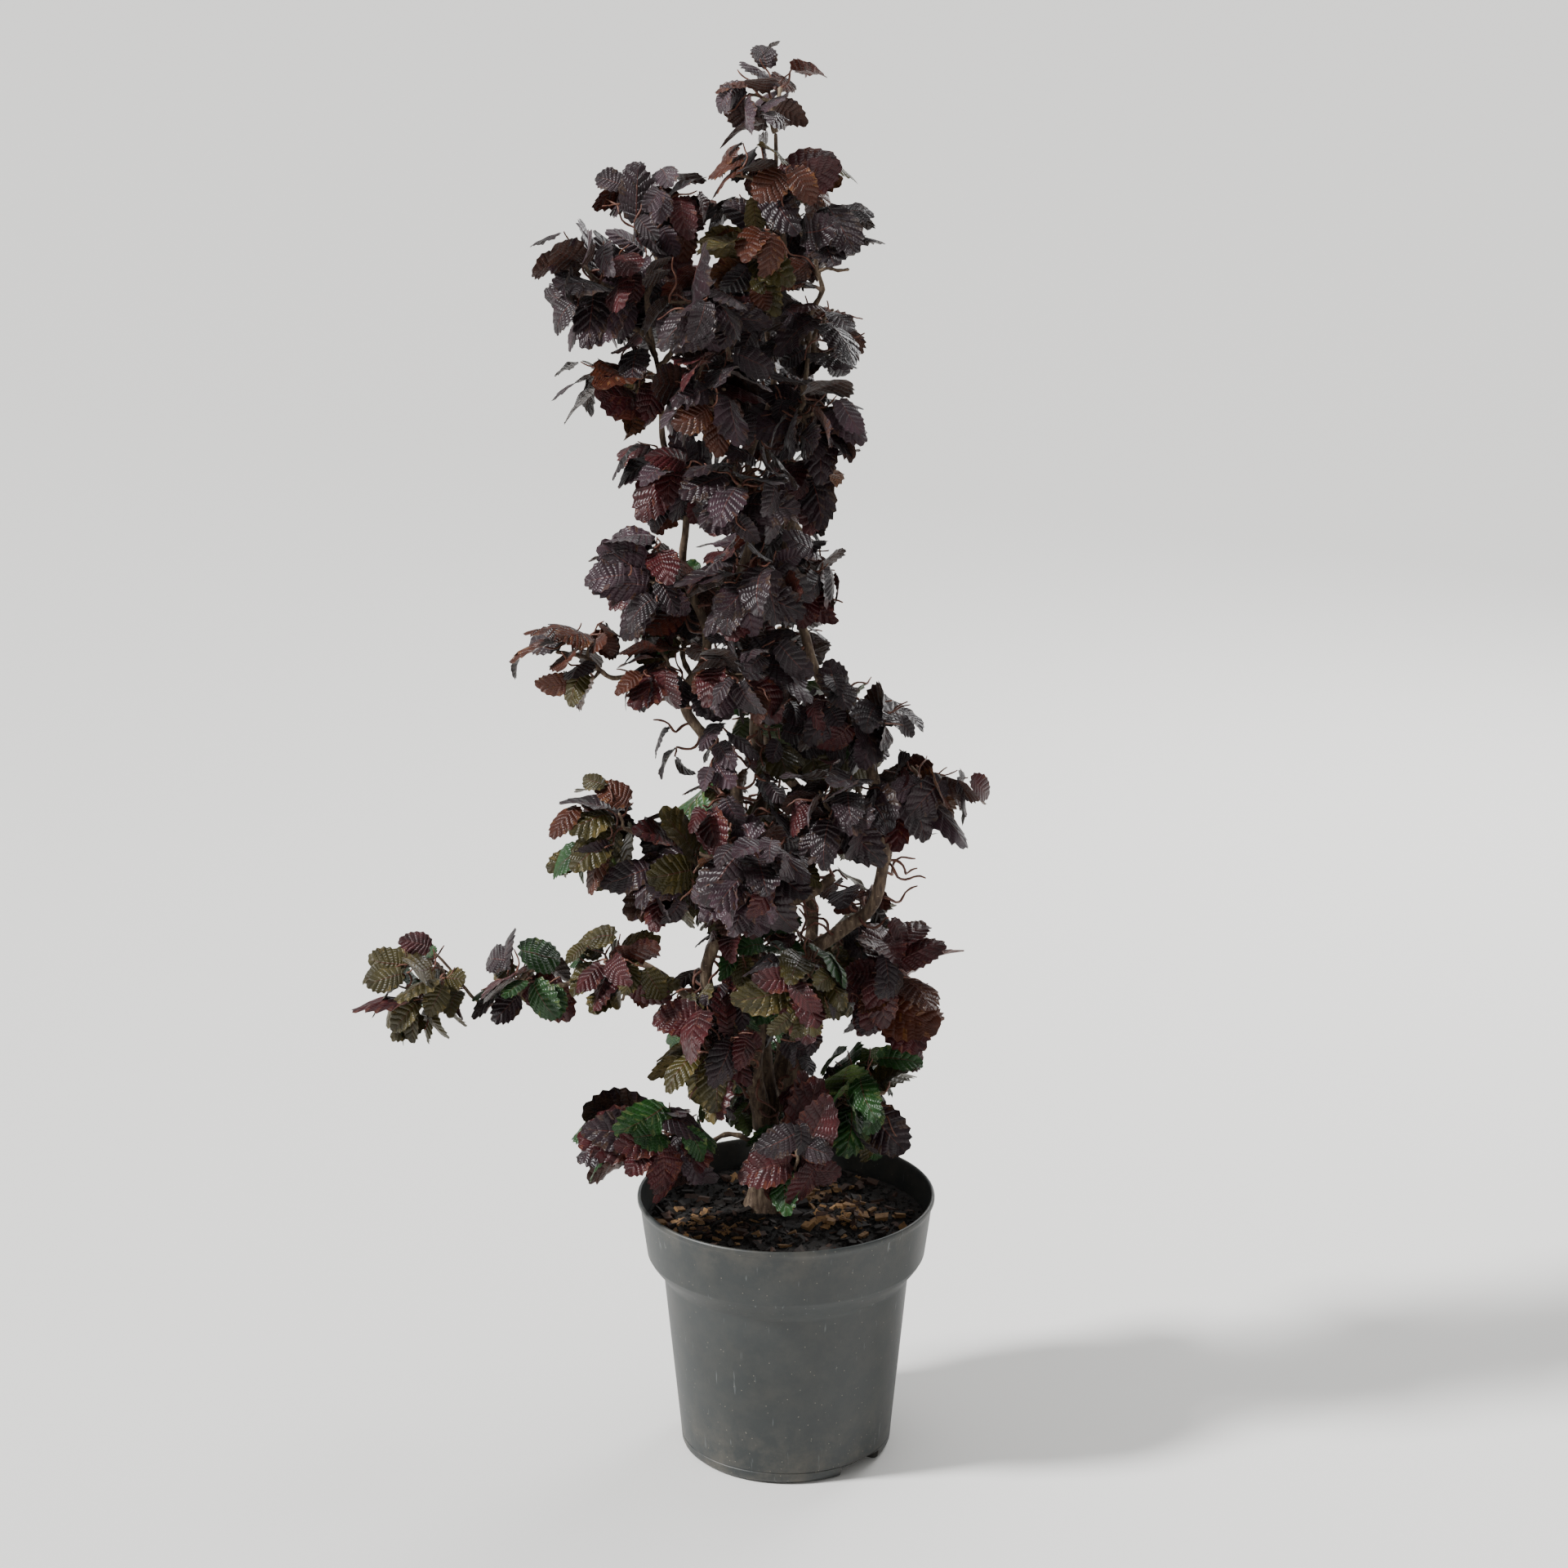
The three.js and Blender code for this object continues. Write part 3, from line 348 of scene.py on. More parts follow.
def fineSpots(points, radii, spacing=growth["spotStep"]):
    places, sizes = [], []
    for i in range(len(points) - 1):
        pieces = max(1, math.ceil(math.dist(points[i], points[i + 1]) / spacing))
        for k in range(pieces):
            places.append(points[i] + (points[i + 1] - points[i]) * (k / pieces))
            sizes.append(radii[i] + (radii[i + 1] - radii[i]) * (k / pieces))
    return np.array(places + [points[-1]]), np.array(sizes + [radii[-1]])


def windingLine(start, end, twist, step, fewest, phase, turn=growth["turnLength"]):
    span = end - start
    length = math.sqrt(dot(span, span))
    along = unit(span)
    across = cross(np.array([0, 0, 1]), along)
    if math.sqrt(dot(across, across)) < 0.2:
        across = np.array([1.0, 0, 0])
    across = unit(across - along * dot(across, along))
    other = cross(along, across)
    steps = max(fewest, math.floor(length / step + 0.5))
    points = []
    for i in range(steps + 1):
        share = i / steps
        angle = phase + (2 * math.pi * share * length) / turn
        swing = twist * math.sin(math.pi * min(1, share * 1.15) * 0.87)
        swung = start + share * span + across * (swing * math.cos(angle))
        points.append(swung + other * (swing * math.sin(angle)))
    return np.array(points)


def taper(points, ends):
    last = len(points) - 1
    return np.array([ends[0] + ((ends[1] - ends[0]) * i) / last for i in range(last + 1)])


def stemSpots(points):
    return fineSpots(points, taper(points, growth["stemRadii"]))


def joinSpots(spots):
    return [np.concatenate([spot[k] for spot in spots]) for k in (0, 1)]


def findWalls(mass):
    # The flat walls between a mass and its neighbours, where their reaches meet.
    others = [other for other in masses if other is not mass]
    middles = np.array([other["middle"] for other in others])
    sizes = np.array([other["reach"].sum() / 3 for other in others])
    inward = mass["middle"] - middles
    apart = np.linalg.norm(inward, axis=1)
    balance = (mass["reach"].sum() / 3) ** 2 - sizes ** 2
    lengths = (middles ** 2).sum(axis=1) - mass["middle"] @ mass["middle"]
    inward = inward / apart[:, None]
    offset = (lengths + balance) / (2 * apart)
    # A wall beyond the mass's own reach never counts.
    near = inward @ mass["middle"] + offset < mass["reach"].max()
    mass["inward"], mass["offset"] = inward[near], offset[near]


def roomAround(points, mass):
    # How deep points lie inside a mass's space.
    scaled = (points - mass["middle"]) / mass["reach"]
    room = (1 - np.linalg.norm(scaled, axis=1)) * mass["reach"].min()
    overSoil = np.hypot(points[:, 0], points[:, 1]) < pot["rimRadius"] - growth["rimInset"]
    ground = np.where(
        overSoil, pot["soilHeight"] + growth["overSoil"], pot["height"] + growth["overRim"])
    walls = (points @ mass["inward"].T + mass["offset"]).min(axis=1, initial=1000)
    return np.minimum(np.minimum(room, points[:, 2] - ground), walls)


def anyTouch(placesA, radiiA, placesB, radiiB, margin):
    if len(placesA) == 0 or len(placesB) == 0:
        return False
    away = np.linalg.norm(placesA[:, None] - placesB[None], axis=2)
    return bool((away < radiiA[:, None] + radiiB[None] + margin).any())


def findStem(mass, ownLimb, others):
    random = seeded(mass["stemSeed"])
    low = mass["middle"] - [0, 0, 0.55 * mass["reach"][2]]
    order = np.argsort(((ownLimb[0] - low) ** 2).sum(axis=1), kind="stable")
    for attempt in range(growth["stemTries"]):
        chosen = order[min(attempt >> 1, len(order) - 1)]
        foot, radius = ownLimb[0][chosen], ownLimb[1][chosen]
        drift = np.array([random() - 0.5, random() - 0.5, random() - 0.5])
        end = mass["middle"] + 10 * unit(mass["middle"] - foot)
        end = end + drift * min(attempt, growth["widestDrift"])
        points = windingLine(
            foot, end, growth["stemTwist"], growth["stemStep"], 4, 2 * math.pi * random()
        )
        places, sizes = stemSpots(points)
        if anyTouch(places, sizes, others[0], others[1], 2):
            continue
        left = np.linalg.norm(places - foot, axis=1) > radius + 14
        if not anyTouch(places[left], sizes[left], ownLimb[0], ownLimb[1], 1):
            return points
    raise RuntimeError("no clear way for the stem of " + mass["name"])


def wayOut(mass, start, direction):
    p = (start - mass["middle"]) / mass["reach"]
    d = direction / mass["reach"]
    a, b = dot(d, d), dot(p, d)
    root = b * b - a * (dot(p, p) - 1)
    return 0 if root < 0 else (math.sqrt(root) - b) / a


def randomWay(random):
    z = 2 * random() - 1
    around = 2 * math.pi * random()
    flat = math.sqrt(1 - z * z)
    return np.array([flat * math.cos(around), flat * math.sin(around), z])


def ringRound(point, along, towards, radius):
    across = unit(towards - along * dot(towards, along))
    other = cross(along, across)
    angles = [2 * math.pi * k / 3 for k in range(3)]
    return [
        point + across * (radius * math.cos(a)) + other * (radius * math.sin(a)) for a in angles
    ]


def sidesOf(low, high):
    # The faces between two rings of three corners, each side split so that it bulges.
    faces = []
    for i in range(3):
        a, b, c, d = low[i], low[(i + 1) % 3], high[(i + 1) % 3], high[i]
        rising = dot(cross(b - a, c - a), d - a) > 0
        split = [(a, b, d), (b, c, d)] if rising else [(a, b, c), (a, c, d)]
        faces += [(three, i) for three in split]
    return faces


def centre(corners):
    return (corners[0] + corners[1] + corners[2]) * (1 / 3)


def faceNormal(corners):
    return unit(cross(corners[1] - corners[0], corners[2] - corners[0]))


def layTwig(base, points, radii, jointCount):
    # Follows the three-cornered rings of the source's twig, and keeps the joints' faces.
    towards = base[0] - centre(base)
    ring, joints = base, []
    for i in range(1, len(points)):
        atEnd = i == len(points) - 1
        along = unit(points[i if atEnd else i + 1] - points[i - 1])
        plain = atEnd or i < len(points) - 1 - jointCount
        for shift in [0] if plain else [-growth["jointHalf"], growth["jointHalf"]]:
            middle = points[i] + along * shift
            low, ring = ring, ringRound(middle, along, towards, radii[i])
            towards = ring[0] - middle
        if not plain:
            joints.append({"at": points[i], "faces": sidesOf(low, ring), "used": None})
    return {"points": points, "radii": radii, "joints": joints, "end": ring}


def growTwig(mass, joint, foreign, own, random):
    for attempt in range(growth["twigTries"]):
        way = randomWay(random)
        way[2] += 0.2
        way = unit(way + 0.8 * (joint["at"] - mass["middle"]) / mass["reach"])
        best = None
        for corners, side in joint["faces"]:
            score = faceNormal(corners) @ way
            if side != joint["used"] and (best is None or score > best[2]):
                best = (corners, side, score)
        corners, side, score = best
        if score < 0.5:
            continue
        start = centre(corners)
        reach = wayOut(mass, start, way) * growth["twigShare"]
        if reach < 20:
            continue
        points = windingLine(
            start, start + way * reach, growth["twigTwist"], growth["twigStep"], 3,
            2 * math.pi * random(),
        )
        if unit(points[1] - start) @ faceNormal(corners) < 0.45:
            continue
        radii = taper(points, growth["twigRadii"])
        places, sizes = fineSpots(points, radii)
        if not (roomAround(points[1:], mass) > growth["clearance"] + 3).all():
            continue
        if anyTouch(places, sizes, foreign[0], foreign[1], 1.6):
            continue
        left = np.linalg.norm(places - start, axis=1) > 7
        if anyTouch(places[left], sizes[left], own[0], own[1], 2.5):
            continue
        joint["used"] = side
        own[0] = np.concatenate([own[0], places])
        own[1] = np.concatenate([own[1], sizes])
        return layTwig(list(corners), points, radii, 2)
    return None


def leafSpots(leaf, length):
    return (
        leaf["root"]
        + (spotShares[:, 0] * length)[:, None] * leaf["along"]
        + (spotHalves * length)[:, None] * leaf["across"]
        - (spotSags * length)[:, None] * leaf["face"]
    )


def nearLeaf(leaf, points, margin, limit):
    # Whether points lie over or under a leaf's blade, nearer to it than a limit.
    local = points - leaf["root"]
    x = local @ leaf["along"]
    half = np.interp(x / leaf["length"], sectionAt, sectionHalf) * leaf["length"]
    sag = np.interp(x / leaf["length"], sectionAt, sectionSag) * leaf["length"]
    over = (x >= -margin) & (x <= leaf["length"] + margin)
    over &= np.abs(local @ leaf["across"]) <= half + margin
    return bool((over & (np.abs(local @ leaf["face"] + sag) < limit)).any())


def fitLength(leaf, wanted, mass, shortest, clearance):
    length = wanted
    while length > shortest * wanted:
        if (roomAround(leafSpots(leaf, length), mass) > clearance).all():
            return length
        length *= 0.92
    return 0


def leafIsFree(leaf, leaves, woods, keep, woodKeep):
    away = np.linalg.norm(woods[0] - leaf["root"], axis=1)
    near = (away <= leaf["length"] * 1.2) & ~(woods[2] & (away < 6))
    if near.any():
        sizes = woods[1][near]
        if nearLeaf(leaf, woods[0][near], sizes + 1, sizes + woodKeep):
            return False
    for other in leaves:
        if math.dist(other["root"], leaf["root"]) > 1.3 * (leaf["length"] + other["length"]):
            continue
        if nearLeaf(other, leaf["spots"], 1, keep) or nearLeaf(leaf, other["spots"], 1, keep):
            return False
    return True


def growLeaf(mass, candidates, way, leaves, woods, random):
    tries = growth["leafTries"]
    for attempt in range(tries):
        looseness = attempt / tries
        corners = candidates[math.floor(random() * len(candidates))]
        root = centre(corners)
        normal = faceNormal(corners)
        outward = (root - mass["middle"]) / mass["reach"]
        outward[:2] += 0.004 * root[:2]
        jitter = [(random() - 0.5) * (1 + looseness) for k in range(5)]
        along = np.array([jitter[0], jitter[1], jitter[2] - 0.3]) + 0.8 * normal
        along = unit(along + 0.8 * (1 - looseness) * outward + 0.2 * way)
        light = np.array([jitter[3] * 0.6, jitter[4] * 0.6 - 0.15, 0.8]) + 0.6 * outward
        wanted = mass["leaf"] * (0.85 + 0.3 * random())
        if normal @ along < growth["leastLean"]:
            continue
        best = None
        for turn in range(3):
            edge = corners[turn] - corners[(turn + 1) % 3]
            across = unit(edge - along * dot(edge, along))
            face = cross(along, across)
            if best is None or face @ light > best[2]:
                best = (across, face, face @ light)
        if best[2] < 0.2:
            continue
        leaf = {"root": root, "along": along, "across": best[0], "face": best[1]}
        leaf["corners"] = corners
        length = fitLength(leaf, wanted, mass, growth["leafShortest"], growth["clearance"])
        if length == 0:
            continue
        leaf["length"] = length
        x, half = sectionAt[1] * length, sectionHalf[1] * length
        stand = [x * along + half * best[0], x * along - half * best[0]]
        stand.append(x * along - firstKeel * length * best[1])
        if min(corner @ normal for corner in stand) <= growth["leastStand"]:
            continue
        leaf["spots"] = leafSpots(leaf, length)
        if leafIsFree(leaf, leaves, woods, growth["leafKeep"], 1.8):
            return leaf
    return None


def growMass(mass, stemPoints, foreign):
    random = seeded(mass["seed"])
    radii = taper(stemPoints, growth["stemRadii"])
    along = unit(stemPoints[1] - stemPoints[0])
    foot = ringRound(stemPoints[0], along, np.array([1.0, 0, 0]), radii[0])
    stem = layTwig(foot, stemPoints, radii, 3)
    own = list(stemSpots(stemPoints))
    twigs = [
        growTwig(mass, joint, foreign, own, random)
        for joint in reversed(stem["joints"][-mass["twigs"]:])
    ]
    sprays = [twig for twig in twigs if twig] + [stem]
    woods = (
        np.concatenate([foreign[0], own[0]]),
        np.concatenate([foreign[1], own[1]]),
        np.concatenate([np.zeros(len(foreign[1]), bool), np.ones(len(own[1]), bool)]),
    )
    leaves = []
    for spray in sprays:
        spray["leaves"] = []
        way = unit(spray["points"][-1] - spray["points"][-2])
        for joint in [None] + spray["joints"]:
            candidates = [tuple(spray["end"])]
            if joint:
                candidates = [c for c, side in joint["faces"] if side != joint["used"]]
            leaf = growLeaf(mass, candidates, way, leaves, woods, random)
            if leaf:
                leaves.append(leaf)
                spray["leaves"].append(leaf)
                if joint:
                    joint["used"] = next(s for c, s in joint["faces"] if c is leaf["corners"])
    return sprays, leaves, woods


# The finer twigs and leaves, between those of the source.
finer = {
    "spacing": 8,
    "radii": [1.25, 0.65],
    "twist": 4,
    "turn": 38,
    "step": 6,
    "share": 0.7,
    "longest": 56,
    "shortest": 13,
    "twigTries": 8,
    "leafTries": 14,
    "leafShares": [0.3, 0.65, 1.0],
    "leafLeast": 0.66,
    "leafShortest": 22,
    "keep": 0.9,
    "mostLeaves": 24,
    "leavesHere": {"leader_tip": 10, "leader_upper": 16, "leader_left": 14, "branch_tip": 22,
                   "branch_middle": 11, "branch_root": 20, "spur_left": 11, "spur_near": 12,
                   "left_flag": 16, "point_right": 17, "shelf_left_out": 18,
                   "foot_left_low": 18, "foot_front": 10, "foot_left": 18, "drape_left": 18,
                   "neck_left": 18, "upper_left_out": 34, "shelf_left": 44, "foot_right": 38,
                   "low_right": 36},
    "forward": {"branch_tip": 0.8, "branch_middle": 0.7, "branch_root": 0.6, "spur_left": 0.4},
}

# How far the photo's eye is before the plane y = 0, and how high.
sightLine = (2991, 1532)
# Where the photo shows sky between the leaves: x and z of the middle on the plane y = 0, and
# half sizes.
openings = [
    ((60, 1112), (46, 32)), ((70, 1046), (22, 38)), ((57, 900), (30, 58)),
    ((-44, 1184), (28, 15)), ((-137, 922), (26, 21)), ((-163, 984), (28, 30)),
    ((-97, 764), (20, 22)), ((-116, 722), (40, 20)), ((-228, 752), (20, 28)),
    ((46, 798), (22, 42)), ((94, 756), (42, 28)), ((142, 694), (46, 24)),
    ((126, 564), (30, 38)), ((28, 524), (30, 32)), ((154, 462), (20, 62)),
    ((124, 340), (34, 44)), ((-158, 262), (34, 22)), ((-150, 434), (44, 18)),
    ((-236, 428), (46, 17)), ((-202, 606), (36, 18)), ((32, 1258), (30, 38)),
    ((34, 430), (14, 22)), ((-120, 385), (18, 20)), ((-206, 640), (24, 16)),
    ((-92, 690), (18, 20)),
]
# Where it shows the bare trunk, which only the leaves in front of it would hide.
trunkOpening = ((-18, 365), (22, 56))


def isOpen(leaf):
    middle = leaf["root"] + leaf["along"] * leaf["length"] * 0.53
    nearer = sightLine[0] / (sightLine[0] + middle[1])
    x, z = middle[0] * nearer, sightLine[1] - (sightLine[1] - middle[2]) * nearer
    rows = openings + ([trunkOpening] if middle[1] < 10 else [])
    return any(((x - at[0]) / half[0]) ** 2 + ((z - at[1]) / half[1]) ** 2 < 1
               for at, half in rows)


def growFinerLeaf(mass, start, sideways, way, leaves, woods, random):
    outward = (start - mass["middle"]) / mass["reach"]
    outward[:2] += 0.004 * start[:2]
    for attempt in range(finer["leafTries"]):
        jitter = np.array([random() - 0.5 for k in range(5)])
        along = 0.8 * sideways + 0.4 * way + 0.6 * outward + jitter[:3] * (0.8 + 0.1 * attempt)
        along[2] -= 0.8
        along = unit(along)
        light = np.array([jitter[3], jitter[4] - 0.1, 0.42]) + 1.1 * outward
        light[1] -= finer["forward"].get(mass["name"], 0)
        across = unit(cross(light, along))
        leaf = {"root": start, "along": along, "across": across, "face": cross(along, across)}
        wanted = mass["leaf"] * (finer["leafLeast"] + 0.4 * random())
        leaf["length"] = fitLength(leaf, wanted, mass, 0.6, 0)
        if leaf["length"] < finer["leafShortest"] or isOpen(leaf):
            continue
        leaf["spots"] = leafSpots(leaf, leaf["length"])
        if leafIsFree(leaf, leaves, woods, finer["keep"], 0.8):
            return leaf
    return None


def growShoot(mass, start, size, leaves, woods, random):
    # One finer twig from a place on an older one, with its leaves by turns on its two sides.
    for attempt in range(finer["twigTries"]):
        way = randomWay(random)
        way[2] += 0.15
        way = unit(way + 0.9 * (start - mass["middle"]) / mass["reach"])
        reach = min(wayOut(mass, start, way) * finer["share"], finer["longest"])
        phase = 2 * math.pi * random()
        if reach < finer["shortest"]:
            continue
        end = start + way * reach
        twist = mass.get("twist", finer["twist"])
        points = windingLine(start, end, twist, finer["step"], 3, phase, finer["turn"])
        radii = taper(points, mass.get("radii", finer["radii"]))
        places, sizes = fineSpots(points, radii)
        left = np.linalg.norm(places - start, axis=1) > size + 4
        if (roomAround(points[1:], mass) < 2).any():
            continue
        if not anyTouch(places[left], sizes[left], woods[0], woods[1], 0.6):
            break
    else:
        return None
    spray = {"points": points, "radii": radii, "leaves": [], "spots": (places, sizes)}
    sideways = unit(cross(way, np.array([0.2, 0.1, 1])))
    for k, share in enumerate(mass.get("leafShares", finer["leafShares"])):
        at = points[min(len(points) - 1, round(share * (len(points) - 1)))]
        turn = sideways * (1 if k % 2 else -1) * (0.25 if share == 1 else 1)
        leaf = growFinerLeaf(mass, at, turn, way, leaves, woods, random)
        if leaf:
            leaves.append(leaf)
            spray["leaves"].append(leaf)
    return spray


def growFiner(mass, sprays, leaves, woods):
    random = seeded(mass["seed"] + 7001)
    starts = []
    for spray in sprays:
        places, sizes = fineSpots(spray["points"], spray["radii"], finer["spacing"])
        starts += [(place, size) for place, size in zip(places, sizes)][1:]
    starts = [s for s in starts if roomAround(s[0][None], mass)[0] > 6]
    starts.sort(key=lambda s: random())
    most = len(leaves) + finer["leavesHere"].get(mass["name"], finer["mostLeaves"])
    added = []
    for start, size in starts:
        if len(leaves) >= most:
            break
        spray = growShoot(mass, start, size, leaves, woods, random)
        if spray and spray["leaves"]:
            added.append(spray)
            own = (*spray["spots"], np.ones(len(spray["spots"][1]), bool))
            woods = tuple(np.concatenate(pair) for pair in zip(woods, own))
    return added


# Short crooked spurs on the bare lengths of the limbs, with a leaf or two.
spurs = {
    "spacing": 10,
    "lowest": 330,
    "skipped": 0.25,
    "reach": [60, 60, 56],
    "leaf": 44,
    "twist": 7,
    "radii": [1.7, 0.9],
    "leafShares": [0.75, 1.0],
    "seed": 911,
}
spurSprays = []


def growSpurs(allWood):
    random = seeded(spurs["seed"])
    every = [leaf for mass in masses for leaf in mass["leaves"]]
    for limb in limbs[1:]:
        places, sizes = fineSpots(limb["points"], limb["sizes"], spurs["spacing"])
        for place, size in zip(places, sizes):
            rooms = [roomAround(place[None], mass)[0] for mass in masses]
            if place[2] < spurs["lowest"] or max(rooms) > 0 or random() < spurs["skipped"]:
                continue
            nearest = masses[int(np.argmin([math.dist(m["middle"], place) for m in masses]))]
            space = {**spurs, "name": "spur", "middle": place, "inward": np.zeros((0, 3)),
                     "reach": np.array(spurs["reach"], float), "offset": np.zeros(0)}
            near = np.linalg.norm(allWood[0] - place, axis=1) < 100
            woods = (allWood[0][near], allWood[1][near], np.zeros(near.sum(), bool))
            leaves = [leaf for leaf in every if math.dist(leaf["root"], place) < 160]
            spray = growShoot(space, place, size, leaves, woods, random)
            if spray:
                every += spray["leaves"]
                spurSprays.append((nearest, spray))


def growPlant():
    wood, stems, stemWood = {}, {}, {}
    for limb in limbs:
        limb["points"], limb["sizes"] = sampleLimb(limb)
        wood[limb["name"]] = fineSpots(limb["points"], limb["sizes"])
    for mass in masses:
        findWalls(mass)
    for mass in masses:
        name = mass["name"]
        others = [spots for limb, spots in wood.items() if limb != mass["limb"]]
        others += stemWood.values()
        stems[name] = findStem(mass, wood[mass["limb"]], joinSpots(others))
        stemWood[name] = stemSpots(stems[name])
    for mass in masses:
        others = [spots for name, spots in stemWood.items() if name != mass["name"]]
        foreign = joinSpots([*wood.values(), *others])
        near = np.linalg.norm(foreign[0] - mass["middle"], axis=1) < 1.6 * mass["reach"].max()
        foreign = [part[near] for part in foreign]
        sprays, leaves, woods = growMass(mass, stems[mass["name"]], foreign)
        for spray in sprays:
            spray["leaves"] = [leaf for leaf in spray["leaves"] if not isOpen(leaf)]
        leaves = [leaf for leaf in leaves if not isOpen(leaf)]
        mass["sourceLeaves"] = len(leaves)
        mass["sprays"] = sprays + growFiner(mass, sprays, leaves, woods)
        mass["leaves"] = leaves
    growSpurs(joinSpots([*wood.values(), *stemWood.values()]))


growPlant()
sourceCount = sum(mass["sourceLeaves"] for mass in masses)
everySpray = [(mass, spray) for mass in masses for spray in mass["sprays"]] + spurSprays
leafCount = sum(len(spray["leaves"]) for mass, spray in everySpray)
print("grown:", sourceCount, "leaves as in the source,", leafCount, "in all")


# Which colour each spray has: mostly its mass's own, with some of its neighbours'.
sprayShares = {
    "dark": [("dark", 0.66), ("plum", 0.2), ("maroon", 0.11), ("rust", 0.03)],
    "plum": [("plum", 0.46), ("dark", 0.32), ("maroon", 0.18), ("rust", 0.04)],
    "maroon": [("maroon", 0.44), ("rust", 0.1), ("dark", 0.3), ("plum", 0.16)],
    # Rust sprays are partly bronze leaves and partly painted backlight.
    "rust": [("rust", 0.28), ("maroon", 0.3), ("olive", 0.12), ("dark", 0.3)],
    "olive": [("olive", 0.48), ("green", 0.14), ("rust", 0.12), ("dark", 0.26)],
    "green": [("green", 0.36), ("olive", 0.3), ("dark", 0.22), ("maroon", 0.12)],
}
# Low down the photo has green leaves among the dark ones.
placeShares = {
    "foot_left_low": [("green", 0.36), ("plum", 0.34), ("maroon", 0.18), ("dark", 0.12)],
    "foot_left": [("dark", 0.42), ("green", 0.2), ("olive", 0.2), ("maroon", 0.18)],
    "foot_front": [("maroon", 0.5), ("green", 0.18), ("dark", 0.32)],
    "foot_right": [("dark", 0.48), ("green", 0.16), ("maroon", 0.22), ("olive", 0.14)],
    "branch_root": [("olive", 0.5), ("green", 0.28), ("maroon", 0.22)],
    "branch_tip": [("olive", 0.54), ("maroon", 0.28), ("green", 0.18)],
    "shelf_left": [("dark", 0.4), ("plum", 0.25), ("olive", 0.2), ("maroon", 0.15)],
}
dealer = seeded(77)
tinted = {tint: [] for tint in sprayShares}
tintNodes = {tint: set() for tint in sprayShares}
for mass, spray in everySpray:
    draw = dealer()
    for tint, share in placeShares.get(mass["name"], sprayShares[mass["tint"]]):
        draw -= share
        if draw <= 0:
            break
    tinted[tint] += spray["leaves"]
    tintNodes[tint].add(mass["name"])

# The leaf: rounded, heart-based and short-pointed, with a tooth at the end of each vein and
# the blade pleated between them. Lengths are shares of its whole length, angles are degrees
# round from its tip.
leafShape = {
    "veins": 8,
    "stalk": 0.13,
    "middle": 0.53,
    "halfLength": 0.44,
    "halfWidth": 0.395,
    "baseAngle": 166,
    "tipPoint": 0.15,
    "tipSpread": 10.5,
    "lobe": 0.035,
    "lobeAngle": 145,
    "lobeSpread": 22,
    "tooth": 0.028,
    "column": 0.52,
    "pleat": 0.0115,
    "pucker": 0.011,
    "thickness": 0.4,
    "sharpFold": 18,
}


def leafPattern():
    # Half a leaf has a column of points on the rib, one half way out and one on the edge.
    shape, rows = leafShape, 2 * leafShape["veins"]
    points, pleats, onEdge, faces = [], [], [], []
    for i in range(rows):
        t = i / rows
        angle = math.radians(shape["baseAngle"]) * (1 - t ** 0.92)
        turned = math.degrees(angle)
        bulge = shape["tipPoint"] * math.exp(-(turned / shape["tipSpread"]) ** 2)
        offLobe = (turned - shape["lobeAngle"]) / shape["lobeSpread"]
        bulge += shape["lobe"] * math.exp(-offLobe ** 2)
        bulge += shape["tooth"] * (1 if i % 2 == 0 else -0.6)
        edge = np.array([
            shape["middle"] + (shape["halfLength"] + bulge) * math.cos(angle),
            (shape["halfWidth"] + bulge) * math.sin(angle),
        ])
        rib = np.array([shape["stalk"] + (1 - shape["stalk"]) * t ** 1.45, 0])
        lift = shape["pleat"] * (-1 if i % 2 == 0 else 1)
        for side, share in ((1, 0), (1, shape["column"]), (1, 1), (-1, shape["column"]), (-1, 1)):
            points.append((rib + (edge - rib) * share) * [1, side])
            pleats.append(lift * (0 if share == 0 else 0.7 if share == 1 else 1))
            onEdge.append(int(share == 1))
        low, high = 5 * i, 5 * (i + 1)
        for a, b in ((0, 1), (1, 2), (0, 3), (3, 4)):
            if i == rows - 1:
                face = (low + a, high, low + b)
            else:
                face = (low + a, high + a, high + b, low + b)
            faces.append(face if b < 3 else face[::-1])
    return (np.array(points + [(1.0, 0.0)]), np.array(pleats + [0.0]), np.array(onEdge + [1]),
            faces)


leafOutline, leafPleats, leafEdges, leafFaces = leafPattern()
# Each place's vein, counted from the base, and how far out it is from the rib to the edge.
veinRows = np.arange(2 * leafShape["veins"])
leafBlade = np.zeros((len(leafOutline), 3))
leafBlade[:-1, 0] = np.repeat(veinRows, 5) / 2
leafBlade[:-1, 1] = np.tile([0, leafShape["column"], 1, leafShape["column"], 1], len(veinRows))
leafBlade[-1, 0] = leafShape["veins"]


